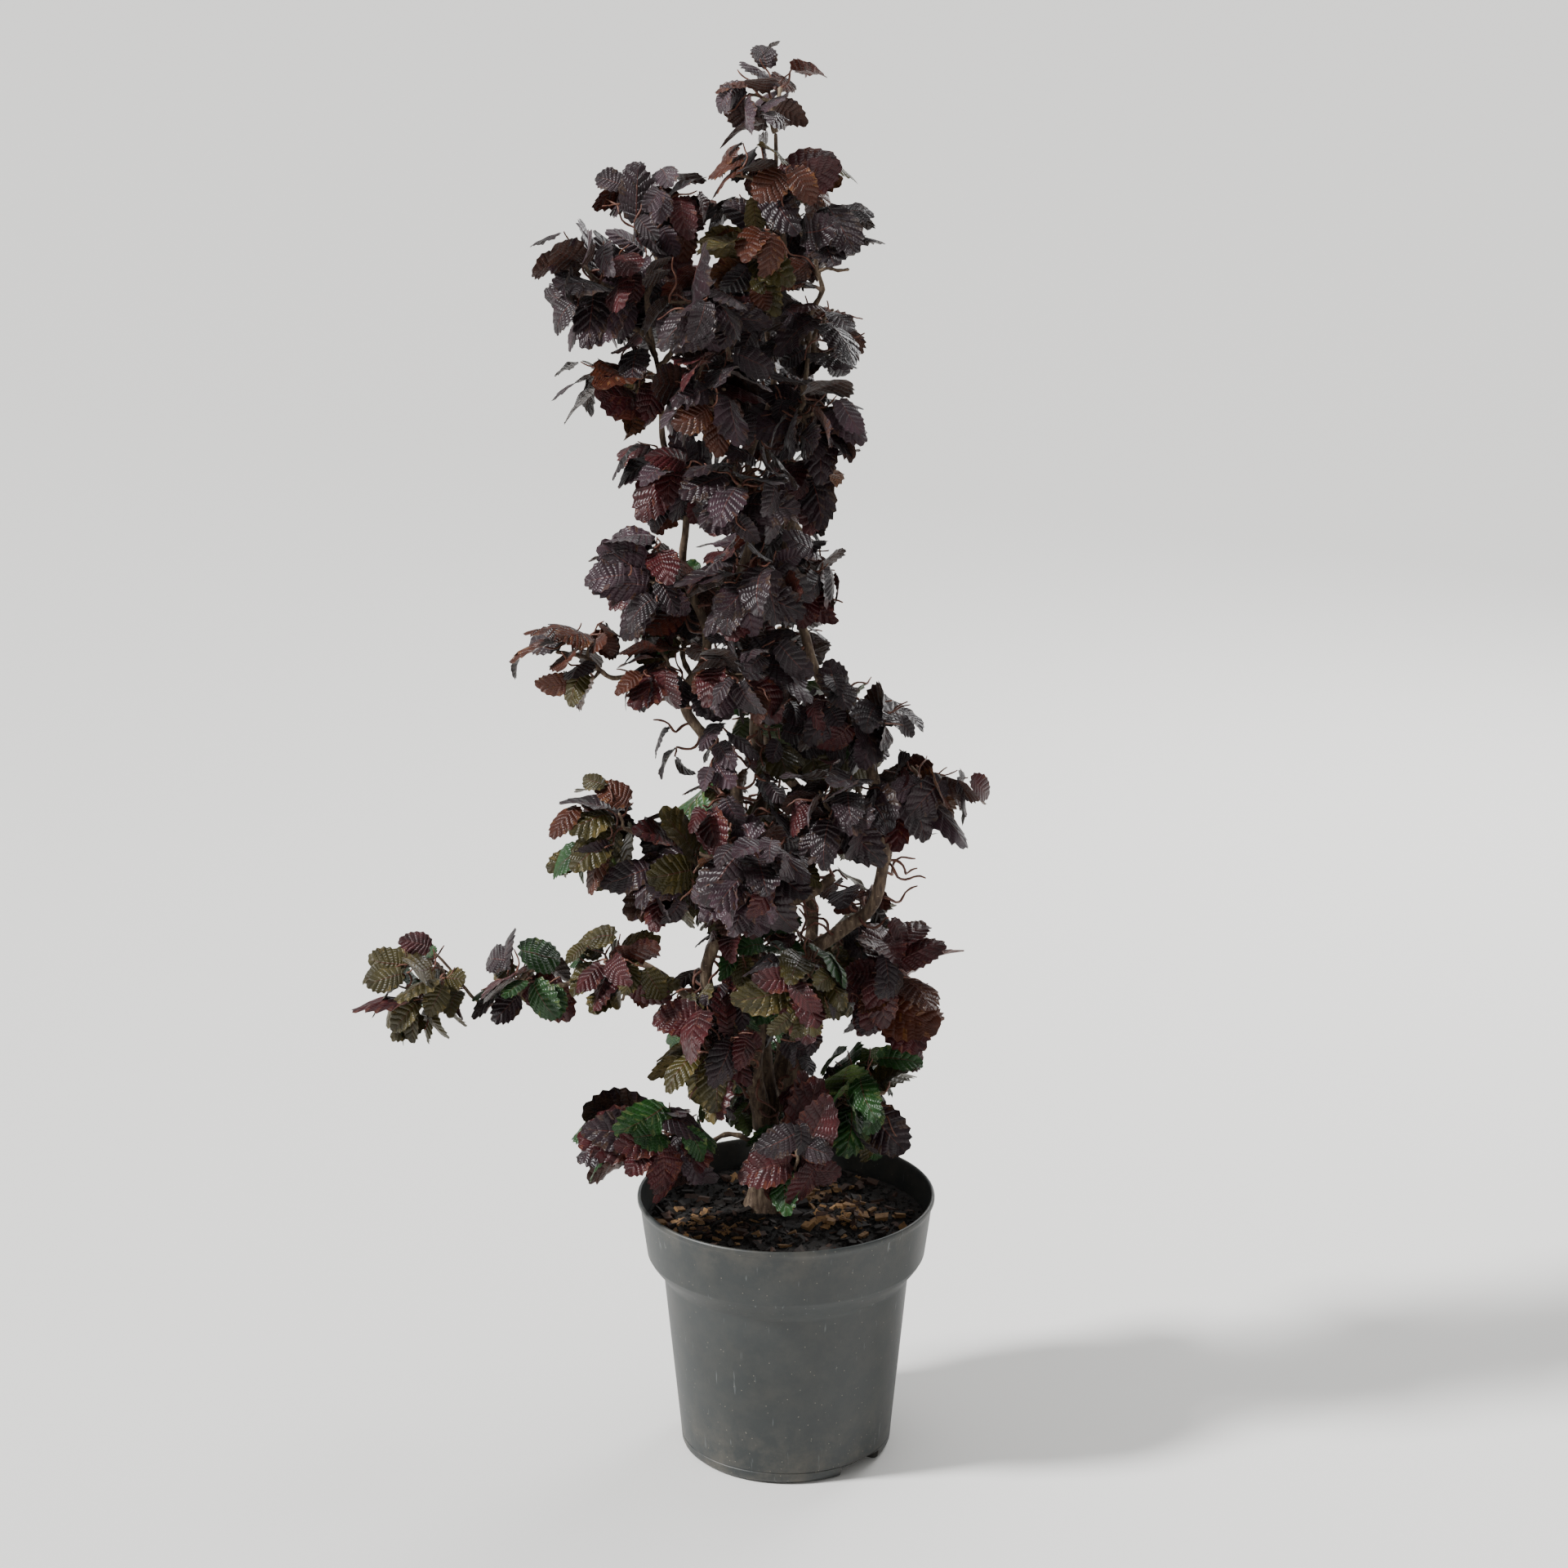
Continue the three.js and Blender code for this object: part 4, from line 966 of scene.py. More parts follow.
def bendLeaves(leaves, spots, lift, drop):
    # Places on every leaf: spots are x and y in shares of its length, lift is added there as a
    # share, and drop is taken off in millimetres. Each leaf has its own droop, fold and waves.
    length = np.array([leaf["length"] for leaf in leaves])[:, None]
    bend = np.array([leaf["bend"] for leaf in leaves])
    droop, fold, wave, twist, phase, skew, width, pleat = (bend[:, k:k + 1] for k in range(8))
    x, y = spots[:, 0][None], spots[:, 1][None] * width
    z = lift[None] * pleat - droop * x ** 2.2 + fold * np.abs(y)
    z = z + leafShape["pucker"] * np.sin(17 * x + 3 * phase) * np.sin(19 * y + 5 * phase)
    z = z + wave * np.sin(9 * x + phase + np.sign(y) * 1.3) * (y / leafShape["halfWidth"]) ** 2
    y = y + skew * x * x * (1 - x)
    turn = twist * x
    y, z = y * np.cos(turn) - z * np.sin(turn), y * np.sin(turn) + z * np.cos(turn)
    axes = [np.array([leaf[key] for leaf in leaves]) for key in ("along", "across", "face")]
    root = np.array([leaf["root"] for leaf in leaves])
    place = root[:, None] + (x * length)[..., None] * axes[0][:, None]
    place = place + (y * length)[..., None] * axes[1][:, None]
    return place + (z * length - drop)[..., None] * axes[2][:, None]


everyLeaf = [leaf for mass, spray in everySpray for leaf in spray["leaves"]]
bender = np.random.default_rng(29)
bendRanges = {"droop": (0.18, 0.6), "fold": (-0.36, 0.3), "wave": (0.02, 0.08),
              "twist": (-0.75, 0.75), "phase": (0, 6.3), "skew": (-0.25, 0.25),
              "width": (0.76, 1), "pleat": (0.45, 1.15)}
for leaf in everyLeaf:
    leaf["bend"] = [bender.uniform(*between) for between in bendRanges.values()]

# A hazel's purple leaves: satin above with a faint bloom, paler and bronze beneath.
leafColours = {
    "dark": {"top": ["11060a", "240e16"], "under": ["241410", "372318"], "bloom": 0.09},
    "plum": {"top": ["1f0f16", "38202a"], "under": ["321d19", "4a2e24"], "bloom": 0.17},
    "maroon": {"top": ["26070a", "411014"], "under": ["401a13", "562719"], "bloom": 0.03},
    # Rust: partly the leaves' own bronze, partly painted backlight, the orange glow where sun
    # shines through a leaf.
    "rust": {"top": ["33150c", "48200f"], "under": ["4a2813", "643c1a"], "bloom": 0.02},
    "olive": {"top": ["28230c", "3f3815"], "under": ["453b1b", "60522a"], "bloom": 0.02},
    "green": {"top": ["102a0e", "1f4417"], "under": ["34441d", "4b5c2b"], "bloom": 0.02},
}
leafFinish = {"roughness": 0.39, "patch": 0.02, "shake": 0.006, "veinDepth": 0.0012,
              "crossVeins": 6, "crossShare": 0.3, "rib": "4c251f", "underBloom": 0.1}


def leafMaterial(name, shades, bloom):
    material, tree, onPlace = newMaterial(name)
    patches = addNode(tree, "TexNoise", {"Scale": 1 / leafFinish["patch"], "Detail": 3.0}, onPlace)
    colour = addNode(tree, "ValToRGB", {"stops": [(0.32, shades[0]), (0.68, shades[1])]},
                     {"Fac": (patches, "Fac")})
    # Sunken side veins with finer ones across between them.
    blade = addNode(tree, "Attribute", {"attribute_name": "blade"})
    shake = addNode(tree, "TexNoise", {"Scale": 1 / leafFinish["shake"], "Detail": 1.0}, onPlace)
    veins = addNode(tree, "VectorMath", {"operation": "MULTIPLY_ADD", 1: (0.5, 0.16, 0)},
                    {0: (shake, "Color"), 2: (blade, "Vector")})
    apart = addNode(tree, "SeparateXYZ", links={"Vector": (veins, "Vector")})
    heights = []
    for axis, turns in (("X", 1), ("Y", leafFinish["crossVeins"])):
        wave, output = apart, axis
        for operation, value in (("MULTIPLY", math.pi * turns), ("SINE", 0), ("ABSOLUTE", 0),
                                 ("POWER", 0.6)):
            wave = addNode(tree, "Math", {"operation": operation, 1: value}, {0: (wave, output)})
            output = 0
        heights.append(wave)
    height = addNode(tree, "Math", {"operation": "MULTIPLY_ADD", 1: leafFinish["crossShare"]},
                     {0: (heights[1], 0), 2: (heights[0], 0)})
    bump = addNode(tree, "Bump", {"Strength": 0.85, "Distance": leafFinish["veinDepth"]},
                   {"Height": (height, 0)})
    # A redder rib, where the share from the rib to the edge is nearly nothing.
    outwards = addNode(tree, "SeparateXYZ", links={"Vector": (blade, "Vector")})
    rib = addNode(tree, "MapRange", {"From Min": 0.05, "From Max": 0.02, "To Max": 0.7},
                  {"Value": (outwards, "Y")})
    ribbed = addNode(tree, "Mix", {"data_type": "RGBA", 7: linear(leafFinish["rib"])},
                     {0: (rib, 0), 6: (colour, "Color")})
    closeMaterial(tree, {
        "Roughness": leafFinish["roughness"],
        "IOR": 1.42,
        "Specular IOR Level": 0.44,
        "Sheen Weight": bloom,
        "Sheen Roughness": 0.45,
    }, {"Base Color": (ribbed, 2), "Normal": (bump, "Normal")})
    return material


step = len(leafOutline)
for tint, leaves in tinted.items():
    looks = leafColours[tint]
    for layer in ("top", "under"):
        top = layer == "top"
        drop = np.zeros(step) if top else leafShape["thickness"] * (1 - leafEdges)
        points = bendLeaves(leaves, leafOutline, leafPleats, drop).reshape(-1, 3)
        faces = [
            tuple(corner + step * k for corner in (face if top else face[::-1]))
            for k in range(len(leaves)) for face in leafFaces
        ]
        material = leafMaterial("hazelLeaf_" + tint + "_" + layer, looks[layer],
                                looks["bloom"] if top else leafFinish["underBloom"])
        piece = addJoined("leaves_" + tint + "_" + layer, points, faces, material,
                          sorted(tintNodes[tint]))
        blade = piece.data.attributes.new("blade", "FLOAT_VECTOR", "POINT")
        blade.data.foreach_set("vector", np.tile(leafBlade, (len(leaves), 1)).ravel())
        pick(piece)
        bpy.ops.object.shade_smooth_by_angle(angle=math.radians(leafShape["sharpFold"]))
print("the leaves are laid")


def tubeArrays(points, radii, sides):
    # A tapering tube along points, closed at its tip.
    points = np.asarray(points)
    along = np.gradient(points, axis=0)
    along /= np.linalg.norm(along, axis=1)[:, None]
    across = np.array([1.0, 0.13, 0.07])
    rings = []
    angles = 2 * np.pi * np.arange(sides) / sides
    for point, way, radius in zip(points, along, radii):
        across = unit(across - way * (across @ way))
        other = cross(way, across)
        rings.append(point + radius * (np.cos(angles)[:, None] * across
                                       + np.sin(angles)[:, None] * other))
    tip = points[-1] + along[-1] * radii[-1]
    corners = np.concatenate(rings + [tip[None]])
    faces = []
    for low in range(0, (len(points) - 1) * sides, sides):
        for k in range(sides):
            n = (k + 1) % sides
            faces.append((low + k, low + n, low + sides + n, low + sides + k))
    top = (len(points) - 1) * sides
    faces += [(top + k, top + (k + 1) % sides, len(corners) - 1) for k in range(sides)]
    return corners, faces


def smoothLine(points, radii, pieces):
    # The same line with rounded bends.
    padded = np.concatenate([[2 * points[0] - points[1]], points, [2 * points[-1] - points[-2]]])
    line, sizes = [], []
    for i in range(len(points) - 1):
        a, b, c, d = padded[i:i + 4]
        for k in range(pieces):
            t = k / pieces
            line.append(0.5 * (2 * b + (c - a) * t + (2 * a - 5 * b + 4 * c - d) * t * t
                               + (3 * b - a - 3 * c + d) * t ** 3))
            sizes.append(radii[i] + (radii[i + 1] - radii[i]) * t)
    return np.array(line + [points[-1]]), np.array(sizes + [radii[-1]])


def joinTubes(tubes):
    points, faces, offset = [], [], 0
    for corners, quads in tubes:
        points.append(corners)
        faces += [tuple(corner + offset for corner in face) for face in quads]
        offset += len(corners)
    return np.concatenate(points), faces


# Sides of the tubes, and how crooked in millimetres and how knotty they are. The source's own
# twigs are stouter than the shoots and wobble more.
twigLooks = {"woodySides": 7, "shootSides": 5, "stalkSides": 4, "wobble": 0.5, "swell": 0.16}
woody, shoots = [], []
wobbler = np.random.default_rng(31)
for mass, spray in everySpray:
    source = "joints" in spray
    line, sizes = smoothLine(spray["points"], spray["radii"], 4 if source else 2)
    shake = wobbler.uniform(-1, 1, line.shape) * twigLooks["wobble"] * (0.5 if source else 0.3)
    shake[0] = 0
    knots = np.sin(np.arange(len(line)) * 1.7)
    swell = 1 + twigLooks["swell"] * knots * wobbler.uniform(0.5, 1)
    sides = twigLooks["woodySides"] if source else twigLooks["shootSides"]
    (woody if source else shoots).append(tubeArrays(line + shake, sizes * swell, sides))

# A stalk and rib: places along the leaf, how far each lies below it, and radii for a leaf of
# 60 mm.
ribShape = {"places": [-0.01, 0.06, 0.13, 0.3, 0.5, 0.72], "drops": [0, 0, 0.25, 0.5, 0.5, 0.35],
            "radii": [1.05, 0.75, 0.75, 0.65, 0.5, 0.2], "leaf": 60}
ribSpots = np.array([[x, 0] for x in ribShape["places"]])
ribs = bendLeaves(everyLeaf, ribSpots, np.zeros(len(ribSpots)), np.array(ribShape["drops"]))
stalks = [
    tubeArrays(line, np.array(ribShape["radii"]) * (leaf["length"] / ribShape["leaf"]) ** 0.5,
               twigLooks["stalkSides"])
    for line, leaf in zip(ribs, everyLeaf)
]


def woodMaterial(name, looks):
    # Hazel bark: smooth and dull, with long grain, warm patches and small pale pores. Young
    # shoots and leaf stalks are redder and a little glossier.
    material, tree, onPlace = newMaterial(name)
    stretch = addNode(tree, "Mapping", {"Scale": looks["stretch"]}, onPlace)
    grain = addNode(tree, "TexNoise", {"Scale": 1 / looks["grain"], "Detail": 6.0,
                                       "Roughness": 0.62}, {"Vector": (stretch, "Vector")})
    patches = addNode(tree, "TexNoise", {"Scale": 1 / looks["patch"], "Detail": 3.0}, onPlace)
    both = addNode(tree, "Math", {"operation": "MULTIPLY_ADD", 1: 0.55},
                   {0: (patches, "Fac"), 2: (grain, "Fac")})
    colour = addNode(tree, "ValToRGB", {"stops": looks["stops"]}, {"Fac": (both, "Value")})
    flatten = addNode(tree, "Mapping", {"Scale": (1, 1, 2.6)}, onPlace)
    pores = addNode(tree, "TexVoronoi", {"Scale": 1 / looks["pore"]},
                    {"Vector": (flatten, "Vector")})
    pale = addNode(tree, "ValToRGB", {"stops": [(0.1, 1.0), (0.2, 0.0)]},
                   {"Fac": (pores, "Distance")})
    mixed = addNode(tree, "Mix", {"data_type": "RGBA", 7: linear(looks["poreColour"])},
                    {0: (pale, "Color"), 6: (colour, "Color")})
    height = addNode(tree, "Math", {"operation": "MULTIPLY_ADD", 1: 0.35},
                     {0: (pale, "Color"), 2: (grain, "Fac")})
    bump = addNode(tree, "Bump", {"Strength": 0.8, "Distance": looks["depth"]},
                   {"Height": (height, "Value")})
    closeMaterial(tree, {"Roughness": looks["roughness"], "IOR": 1.45},
                  {"Base Color": (mixed, 2), "Normal": (bump, "Normal")})
    return material


woodLooks = {
    "hazelBark": {
        "stretch": (1, 1, 0.22), "grain": 0.0035, "patch": 0.035, "pore": 0.007,
        "depth": 0.0007, "roughness": 0.78, "poreColour": "867460",
        "stops": [(0.5, "2b2019"), (0.7, "4c3c30"), (0.86, "6b5a49"), (1.0, "8a7a66")],
    },
    "hazelYoungShoot": {
        "stretch": (1, 1, 0.5), "grain": 0.002, "patch": 0.02, "pore": 0.003,
        "depth": 0.0003, "roughness": 0.55, "poreColour": "8a6a55",
        "stops": [(0.5, "38201b"), (0.75, "5a352a"), (1.0, "7a5240")],
    },
    "hazelLeafStalk": {
        "stretch": (1, 1, 0.6), "grain": 0.002, "patch": 0.02, "pore": 0.003,
        "depth": 0.0002, "roughness": 0.5, "poreColour": "7a4438",
        "stops": [(0.5, "4a1f1e"), (0.8, "6a3028"), (1.0, "84503a")],
    },
}
woodMaterials = {name: woodMaterial(name, looks) for name, looks in woodLooks.items()}
for name, tubes, kind in (("twigs", woody, "hazelBark"), ("shoots", shoots, "hazelYoungShoot"),
                          ("leaf_stalks", stalks, "hazelLeafStalk")):
    points, faces = joinTubes(tubes)
    addJoined(name, points, faces, woodMaterials[kind],
              [mass["name"] for mass in masses])

# Trunk and boughs, fused into one body with the bark's relief: lumps and ridges that are
# drawn out along the wood, and lobes round its foot. Lengths are millimetres.
limbLooks = {
    "voxel": 1.4,
    "smoothings": 2,
    "lump": 9,
    "lumpHeight": 1.1,
    "ridge": 3.2,
    "ridgeHeight": 0.8,
    "drawnOut": 0.3,
    "fullRelief": 10,
    "rootLobes": 5,
    "lobeHeight": 2.2,
    "lobeReach": 24,
    "lobeTop": 320,
    "slimming": 0.26,
}


def layLimb(limb):
    deselect()
    bpy.ops.curve.primitive_bezier_curve_add(location=(0, 0, 0))
    curve = bpy.context.object.data
    curve.splines.clear()
    spline = curve.splines.new("POLY")
    line, sizes = smoothLine(limb["points"], limb["sizes"], 6)
    spline.points.add(len(line) - 1)
    if "twist" in limb:
        # The source's limbs are a little stout for their upper lengths.
        sizes = sizes * (1 - limbLooks["slimming"] * np.sqrt(np.linspace(0, 1, len(sizes))))
    for spot, point, size in zip(spline.points, line, sizes):
        spot.co = (*(point * mm), 1)
        spot.radius = size * mm
    curve.bevel_depth = 1
    curve.bevel_resolution = 6
    curve.use_fill_caps = True
    bpy.ops.object.convert(target="MESH")
    return bpy.context.object, line, sizes


limbPieces, limbLines, limbSizes = zip(*[layLimb(limb) for limb in limbs])
stems = limbPieces[0]
pick(stems)
for piece in limbPieces:
    piece.select_set(True)
bpy.ops.object.join()
stems.name = stems.data.name = "stems"
bpy.ops.object.transform_apply(location=True, rotation=True, scale=True)
applyModifier(stems, "REMESH", {"mode": "VOXEL", "voxel_size": limbLooks["voxel"] * mm})
applyModifier(stems, "SMOOTH", {"iterations": limbLooks["smoothings"]})

limbPoints, limbSizes = np.concatenate(limbLines), np.concatenate(limbSizes)
nearLimbs = kdtree.KDTree(len(limbPoints))
for k, point in enumerate(limbPoints):
    nearLimbs.insert(point * mm, k)
nearLimbs.balance()
foot = limbs[0]["points"][0]
surface, normals = [np.zeros(3 * len(stems.data.vertices)) for k in range(2)]
stems.data.vertices.foreach_get("co", surface)
stems.data.vertices.foreach_get("normal", normals)
surface, normals = surface.reshape(-1, 3) / mm, normals.reshape(-1, 3)
heights = []
for x, y, z in surface:
    size = limbSizes[nearLimbs.find((x * mm, y * mm, z * mm))[1]]
    drawn = Vector((x, y, z * limbLooks["drawnOut"]))
    height = limbLooks["lumpHeight"] * noise.noise(drawn / limbLooks["lump"])
    height += limbLooks["ridgeHeight"] * noise.noise(drawn / limbLooks["ridge"])
    height *= min(1, size / limbLooks["fullRelief"])
    if z < limbLooks["lobeTop"]:
        around = math.atan2(y - foot[1], x - foot[0])
        near = math.exp(-max(0, z - pot["soilHeight"]) / limbLooks["lobeReach"])
        height += limbLooks["lobeHeight"] * near * math.sin(limbLooks["rootLobes"] * around + 1)
    heights.append(height)
surface += normals * np.array(heights)[:, None]
stems.data.vertices.foreach_set("co", (surface * mm).ravel())
stems.data.update()
bpy.ops.object.shade_smooth()
finishPiece(stems, woodMaterials["hazelBark"], [limb["name"] for limb in limbs])
print("stems:", sum(len(p.vertices) - 2 for p in stems.data.polygons), "triangles")


def spinOutline(name, outline, steps):
    # A body spun from its cross section, given as radii and heights in millimetres.
    deselect()
    bpy.ops.mesh.primitive_circle_add(vertices=len(outline), radius=0.1, fill_type="NOTHING")
    piece = bpy.context.object
    piece.name = piece.data.name = name
    for vertex, (radius, height) in zip(piece.data.vertices, outline):
        vertex.co = (radius * mm, 0, height * mm)
    bpy.ops.object.mode_set(mode="EDIT")
    bpy.ops.mesh.select_all(action="SELECT")
    bpy.ops.mesh.spin(steps=steps, angle=2 * math.pi, center=(0, 0, 0), axis=(0, 0, 1))
    bpy.ops.mesh.select_all(action="SELECT")
    bpy.ops.mesh.remove_doubles(threshold=0.00001)
    bpy.ops.mesh.delete_loose()
    bpy.ops.mesh.select_all(action="SELECT")
    bpy.ops.mesh.normals_make_consistent(inside=False)
    bpy.ops.object.mode_set(mode="OBJECT")
    return piece


potOutline = [
    (0, 0), (88, 0), (93, 0.1), (96.4, 1.1), (98.7, 3.2), (99.8, 6), (100.1, 9), (100.3, 11.4),
    (99.8, 11.9), (99.8, 12.3), (100.4, 12.9), (101.9, 30), (108.6, 100), (115.6, 173.6),
    (116.1, 176), (117.4, 178.4), (125.6, 188.6), (128.6, 192.8), (130.4, 196.2), (131, 197.2),
    (131.2, 198.4), (134.4, 222), (137.3, 244.4), (137.9, 246.8), (139.1, 248.6), (139.9, 250),
    (140, 251.4), (139.7, 252.8), (138.9, 253.7), (137.8, 254), (136.9, 253.6), (136.5, 252.6),
    (136.2, 250), (133.2, 226), (129, 199), (113.6, 177), (98.6, 22), (97, 16), (0, 16),
]
potBody = spinOutline("pot_body", potOutline, pot["sides"])


def cutRecess(middle):
    # A wedge let into the pot's lower edge, for water to run out by, with a low domed top.
    deselect()
    bpy.ops.mesh.primitive_grid_add(x_subdivisions=12, y_subdivisions=5, size=2)
    cutter = bpy.context.object
    below = 10
    for vertex in cutter.data.vertices:
        turn = math.radians(middle - 90 + pot["recessSpread"] * vertex.co.x / 2)
        out = pot["recessInnerRadius"] + pot["recessLength"] * (vertex.co.y + 1) / 2
        vertex.co = (out * mm * math.cos(turn), out * mm * math.sin(turn), -below * mm)
    bpy.ops.object.mode_set(mode="EDIT")
    bpy.ops.mesh.select_all(action="SELECT")
    lift = (pot["recessHeight"] + below) * mm
    bpy.ops.mesh.extrude_region_move(TRANSFORM_OT_translate={"value": (0, 0, lift)})
    bpy.ops.mesh.select_all(action="SELECT")
    bpy.ops.mesh.normals_make_consistent(inside=False)
    bpy.ops.object.mode_set(mode="OBJECT")
    for vertex in cutter.data.vertices:
        if vertex.co.z > 0:
            turn = math.degrees(math.atan2(vertex.co.y, vertex.co.x)) - middle + 90
            across = ((turn + 180) % 360 - 180) * 2 / pot["recessSpread"]
            vertex.co.z -= pot["recessDome"] * across ** 2 * mm
    pick(potBody)
    applyModifier(potBody, "BOOLEAN", {"operation": "DIFFERENCE", "solver": "EXACT",
                                       "object": cutter})
    bpy.data.objects.remove(cutter)


for middle in pot["recessMiddles"]:
    cutRecess(middle)
pick(potBody)
bpy.ops.object.shade_smooth_by_angle(angle=math.radians(28))

# Moulded polypropylene: slate grey, satin, a little dusty, with rubbed marks from handling.
potLooks = {
    "plain": ["212525", "2b2f2f"],
    "cloud": 0.09,
    "roughness": [0.42, 0.6],
    # The mould's grain is drawn some four times as coarse as it is, so that it shows.
    "grain": 0.0011,
    # Patches of dust about 26 mm wide, and how much of it lies everywhere, low down and high up.
    "dust": "655e52",
    "dustScale": 38.0,
    "dustShares": [0.1, 0.34, 0.2],
    "mark": "6f7474",
    "scratch": 0.004,
    # Specks about 7 mm apart.
    "speck": "a39a88",
    "speckScale": 150.0,
}


def potMaterial():
    material, tree, onPlace = newMaterial("pottingPolypropylene")
    clouds = addNode(tree, "TexNoise", {"Scale": 1 / potLooks["cloud"], "Detail": 6.0,
                                        "Roughness": 0.6}, onPlace)
    colour = addNode(tree, "ValToRGB", {"stops": list(zip((0.35, 0.65), potLooks["plain"]))},
                     {"Fac": (clouds, "Fac")})
    # Dust lies everywhere in patches, and more of it at the foot and on the rim.
    apart = addNode(tree, "SeparateXYZ", links=onPlace)
    low = addNode(tree, "MapRange", {"From Min": 0.07, "From Max": 0.0,
                                     "To Max": potLooks["dustShares"][1]},
                  {"Value": (apart, "Z")})
    high = addNode(tree, "MapRange", {"From Min": 0.215, "From Max": 0.254,
                                      "To Max": potLooks["dustShares"][2]},
                   {"Value": (apart, "Z")})
    spread = addNode(tree, "Math", {"operation": "ADD"}, {0: (low, 0), 1: (high, 0)})
    lift = addNode(tree, "Math", {"operation": "ADD", 1: potLooks["dustShares"][0]},
                   {0: (spread, 0)})
    dusty = addNode(tree, "TexNoise", {"Scale": potLooks["dustScale"], "Detail": 8.0,
                                       "Roughness": 0.7}, onPlace)
    patchy = addNode(tree, "ValToRGB", {"stops": [(0.42, 0.0), (0.7, 1.0)]},
                     {"Fac": (dusty, "Fac")})
    dust = addNode(tree, "Math", {"operation": "MULTIPLY"}, {0: (lift, 0), 1: (patchy, "Color")})
    # Rubbed marks are drawn out slantwise, and pale specks are splashes of compost.
    drawn = addNode(tree, "Mapping", {"Scale": (1, 1, 0.09), "Rotation": (0.5, 0.35, 0)}, onPlace)
    scratches = addNode(tree, "TexNoise", {"Scale": 1 / potLooks["scratch"], "Detail": 2.0},
                        {"Vector": (drawn, "Vector")})
    marks = addNode(tree, "ValToRGB", {"stops": [(0.69, 0.0), (0.78, 0.5)]},
                    {"Fac": (scratches, "Fac")})
    specks = addNode(tree, "TexVoronoi", {"Scale": potLooks["speckScale"]}, onPlace)
    dots = addNode(tree, "ValToRGB", {"stops": [(0.05, 0.4), (0.09, 0.0)]},
                   {"Fac": (specks, "Distance")})
    output = "Color"
    for share, over in ((dust, "dust"), (marks, "mark"), (dots, "speck")):
        colour = addNode(tree, "Mix", {"data_type": "RGBA", 7: linear(potLooks[over])},
                         {0: (share, 0), 6: (colour, output)})
        output = 2
    rough = addNode(tree, "MapRange", dict(zip(("To Min", "To Max"), potLooks["roughness"])),
                    {"Value": (clouds, "Fac")})
    grain = addNode(tree, "TexNoise", {"Scale": 1 / potLooks["grain"], "Detail": 2.0}, onPlace)
    height = addNode(tree, "Math", {"operation": "MULTIPLY_ADD", 1: -0.8},
                     {0: (marks, "Color"), 2: (grain, "Fac")})
    bump = addNode(tree, "Bump", {"Strength": 0.35, "Distance": 0.00025},
                   {"Height": (height, 0)})
    closeMaterial(tree, {"IOR": 1.49}, {
        "Base Color": (colour, 2), "Roughness": (rough, 0), "Normal": (bump, "Normal")})
    return material


finishPiece(potBody, potMaterial(), ["pot"])
print("the pot is spun")

# The compost, with bark chips on its three low heaps and scattered about. A heap has its
# place, height and width.
compost = {
    "heaps": [(-75, -28, 8, 30), (60, -9, 7, 28), (10, 70, 4, 34)],
    "rough": 2.4,
    "rings": 44,
    "steps": 144,
    "radius": 131,
    "chips": 620,
    "crumbs": 2600,
}
heapNoise = np.random.default_rng(41)


def groundAt(x, y):
    height = pot["soilHeight"] - 1
    for heapX, heapY, tall, wide in compost["heaps"]:
        height += tall * math.exp(-((x - heapX) ** 2 + (y - heapY) ** 2) / (2 * wide ** 2))
    height += compost["rough"] * noise.noise(Vector((x / 17, y / 17, 0)))
    return height + compost["rough"] * 0.6 * noise.noise(Vector((x / 6, y / 6, 3)))


compostOutline = [(0, 16.3), (96.6, 16.3), (98.2, 22), (113.2, 177), (128.6, 199)]
compostOutline += [(132.6 * k / compost["rings"], pot["soilHeight"])
                   for k in range(compost["rings"], -1, -1)]
compostBody = spinOutline("compost", compostOutline, compost["steps"])
for vertex in compostBody.data.vertices:
    if vertex.co.z > 0.21:
        vertex.co.z = groundAt(vertex.co.x / mm, vertex.co.y / mm) * mm
bpy.ops.object.shade_smooth()


def grittyMaterial(name, stops, grain, depth, roughness):
    # Damp potting compost is nearly black, crumbly and dull. Split pine bark is tan where it is
    # fresh and brown where it is old, with a rough grain.
    material, tree, onPlace = newMaterial(name)
    coarse = addNode(tree, "TexNoise", {"Scale": 1 / grain, "Detail": 8.0, "Roughness": 0.7},
                     onPlace)
    colour = addNode(tree, "ValToRGB", {"stops": stops}, {"Fac": (coarse, "Fac")})
    bump = addNode(tree, "Bump", {"Strength": 1.0, "Distance": depth}, {"Height": (coarse, "Fac")})
    closeMaterial(tree, {"Roughness": roughness},
                  {"Base Color": (colour, "Color"), "Normal": (bump, "Normal")})
    return material


pottingCompost = grittyMaterial(
    "pottingCompost", [(0.35, "060403"), (0.55, "120c08"), (0.75, "251810")], 0.006, 0.003, 0.95)
finishPiece(compostBody, pottingCompost, ["soil"])


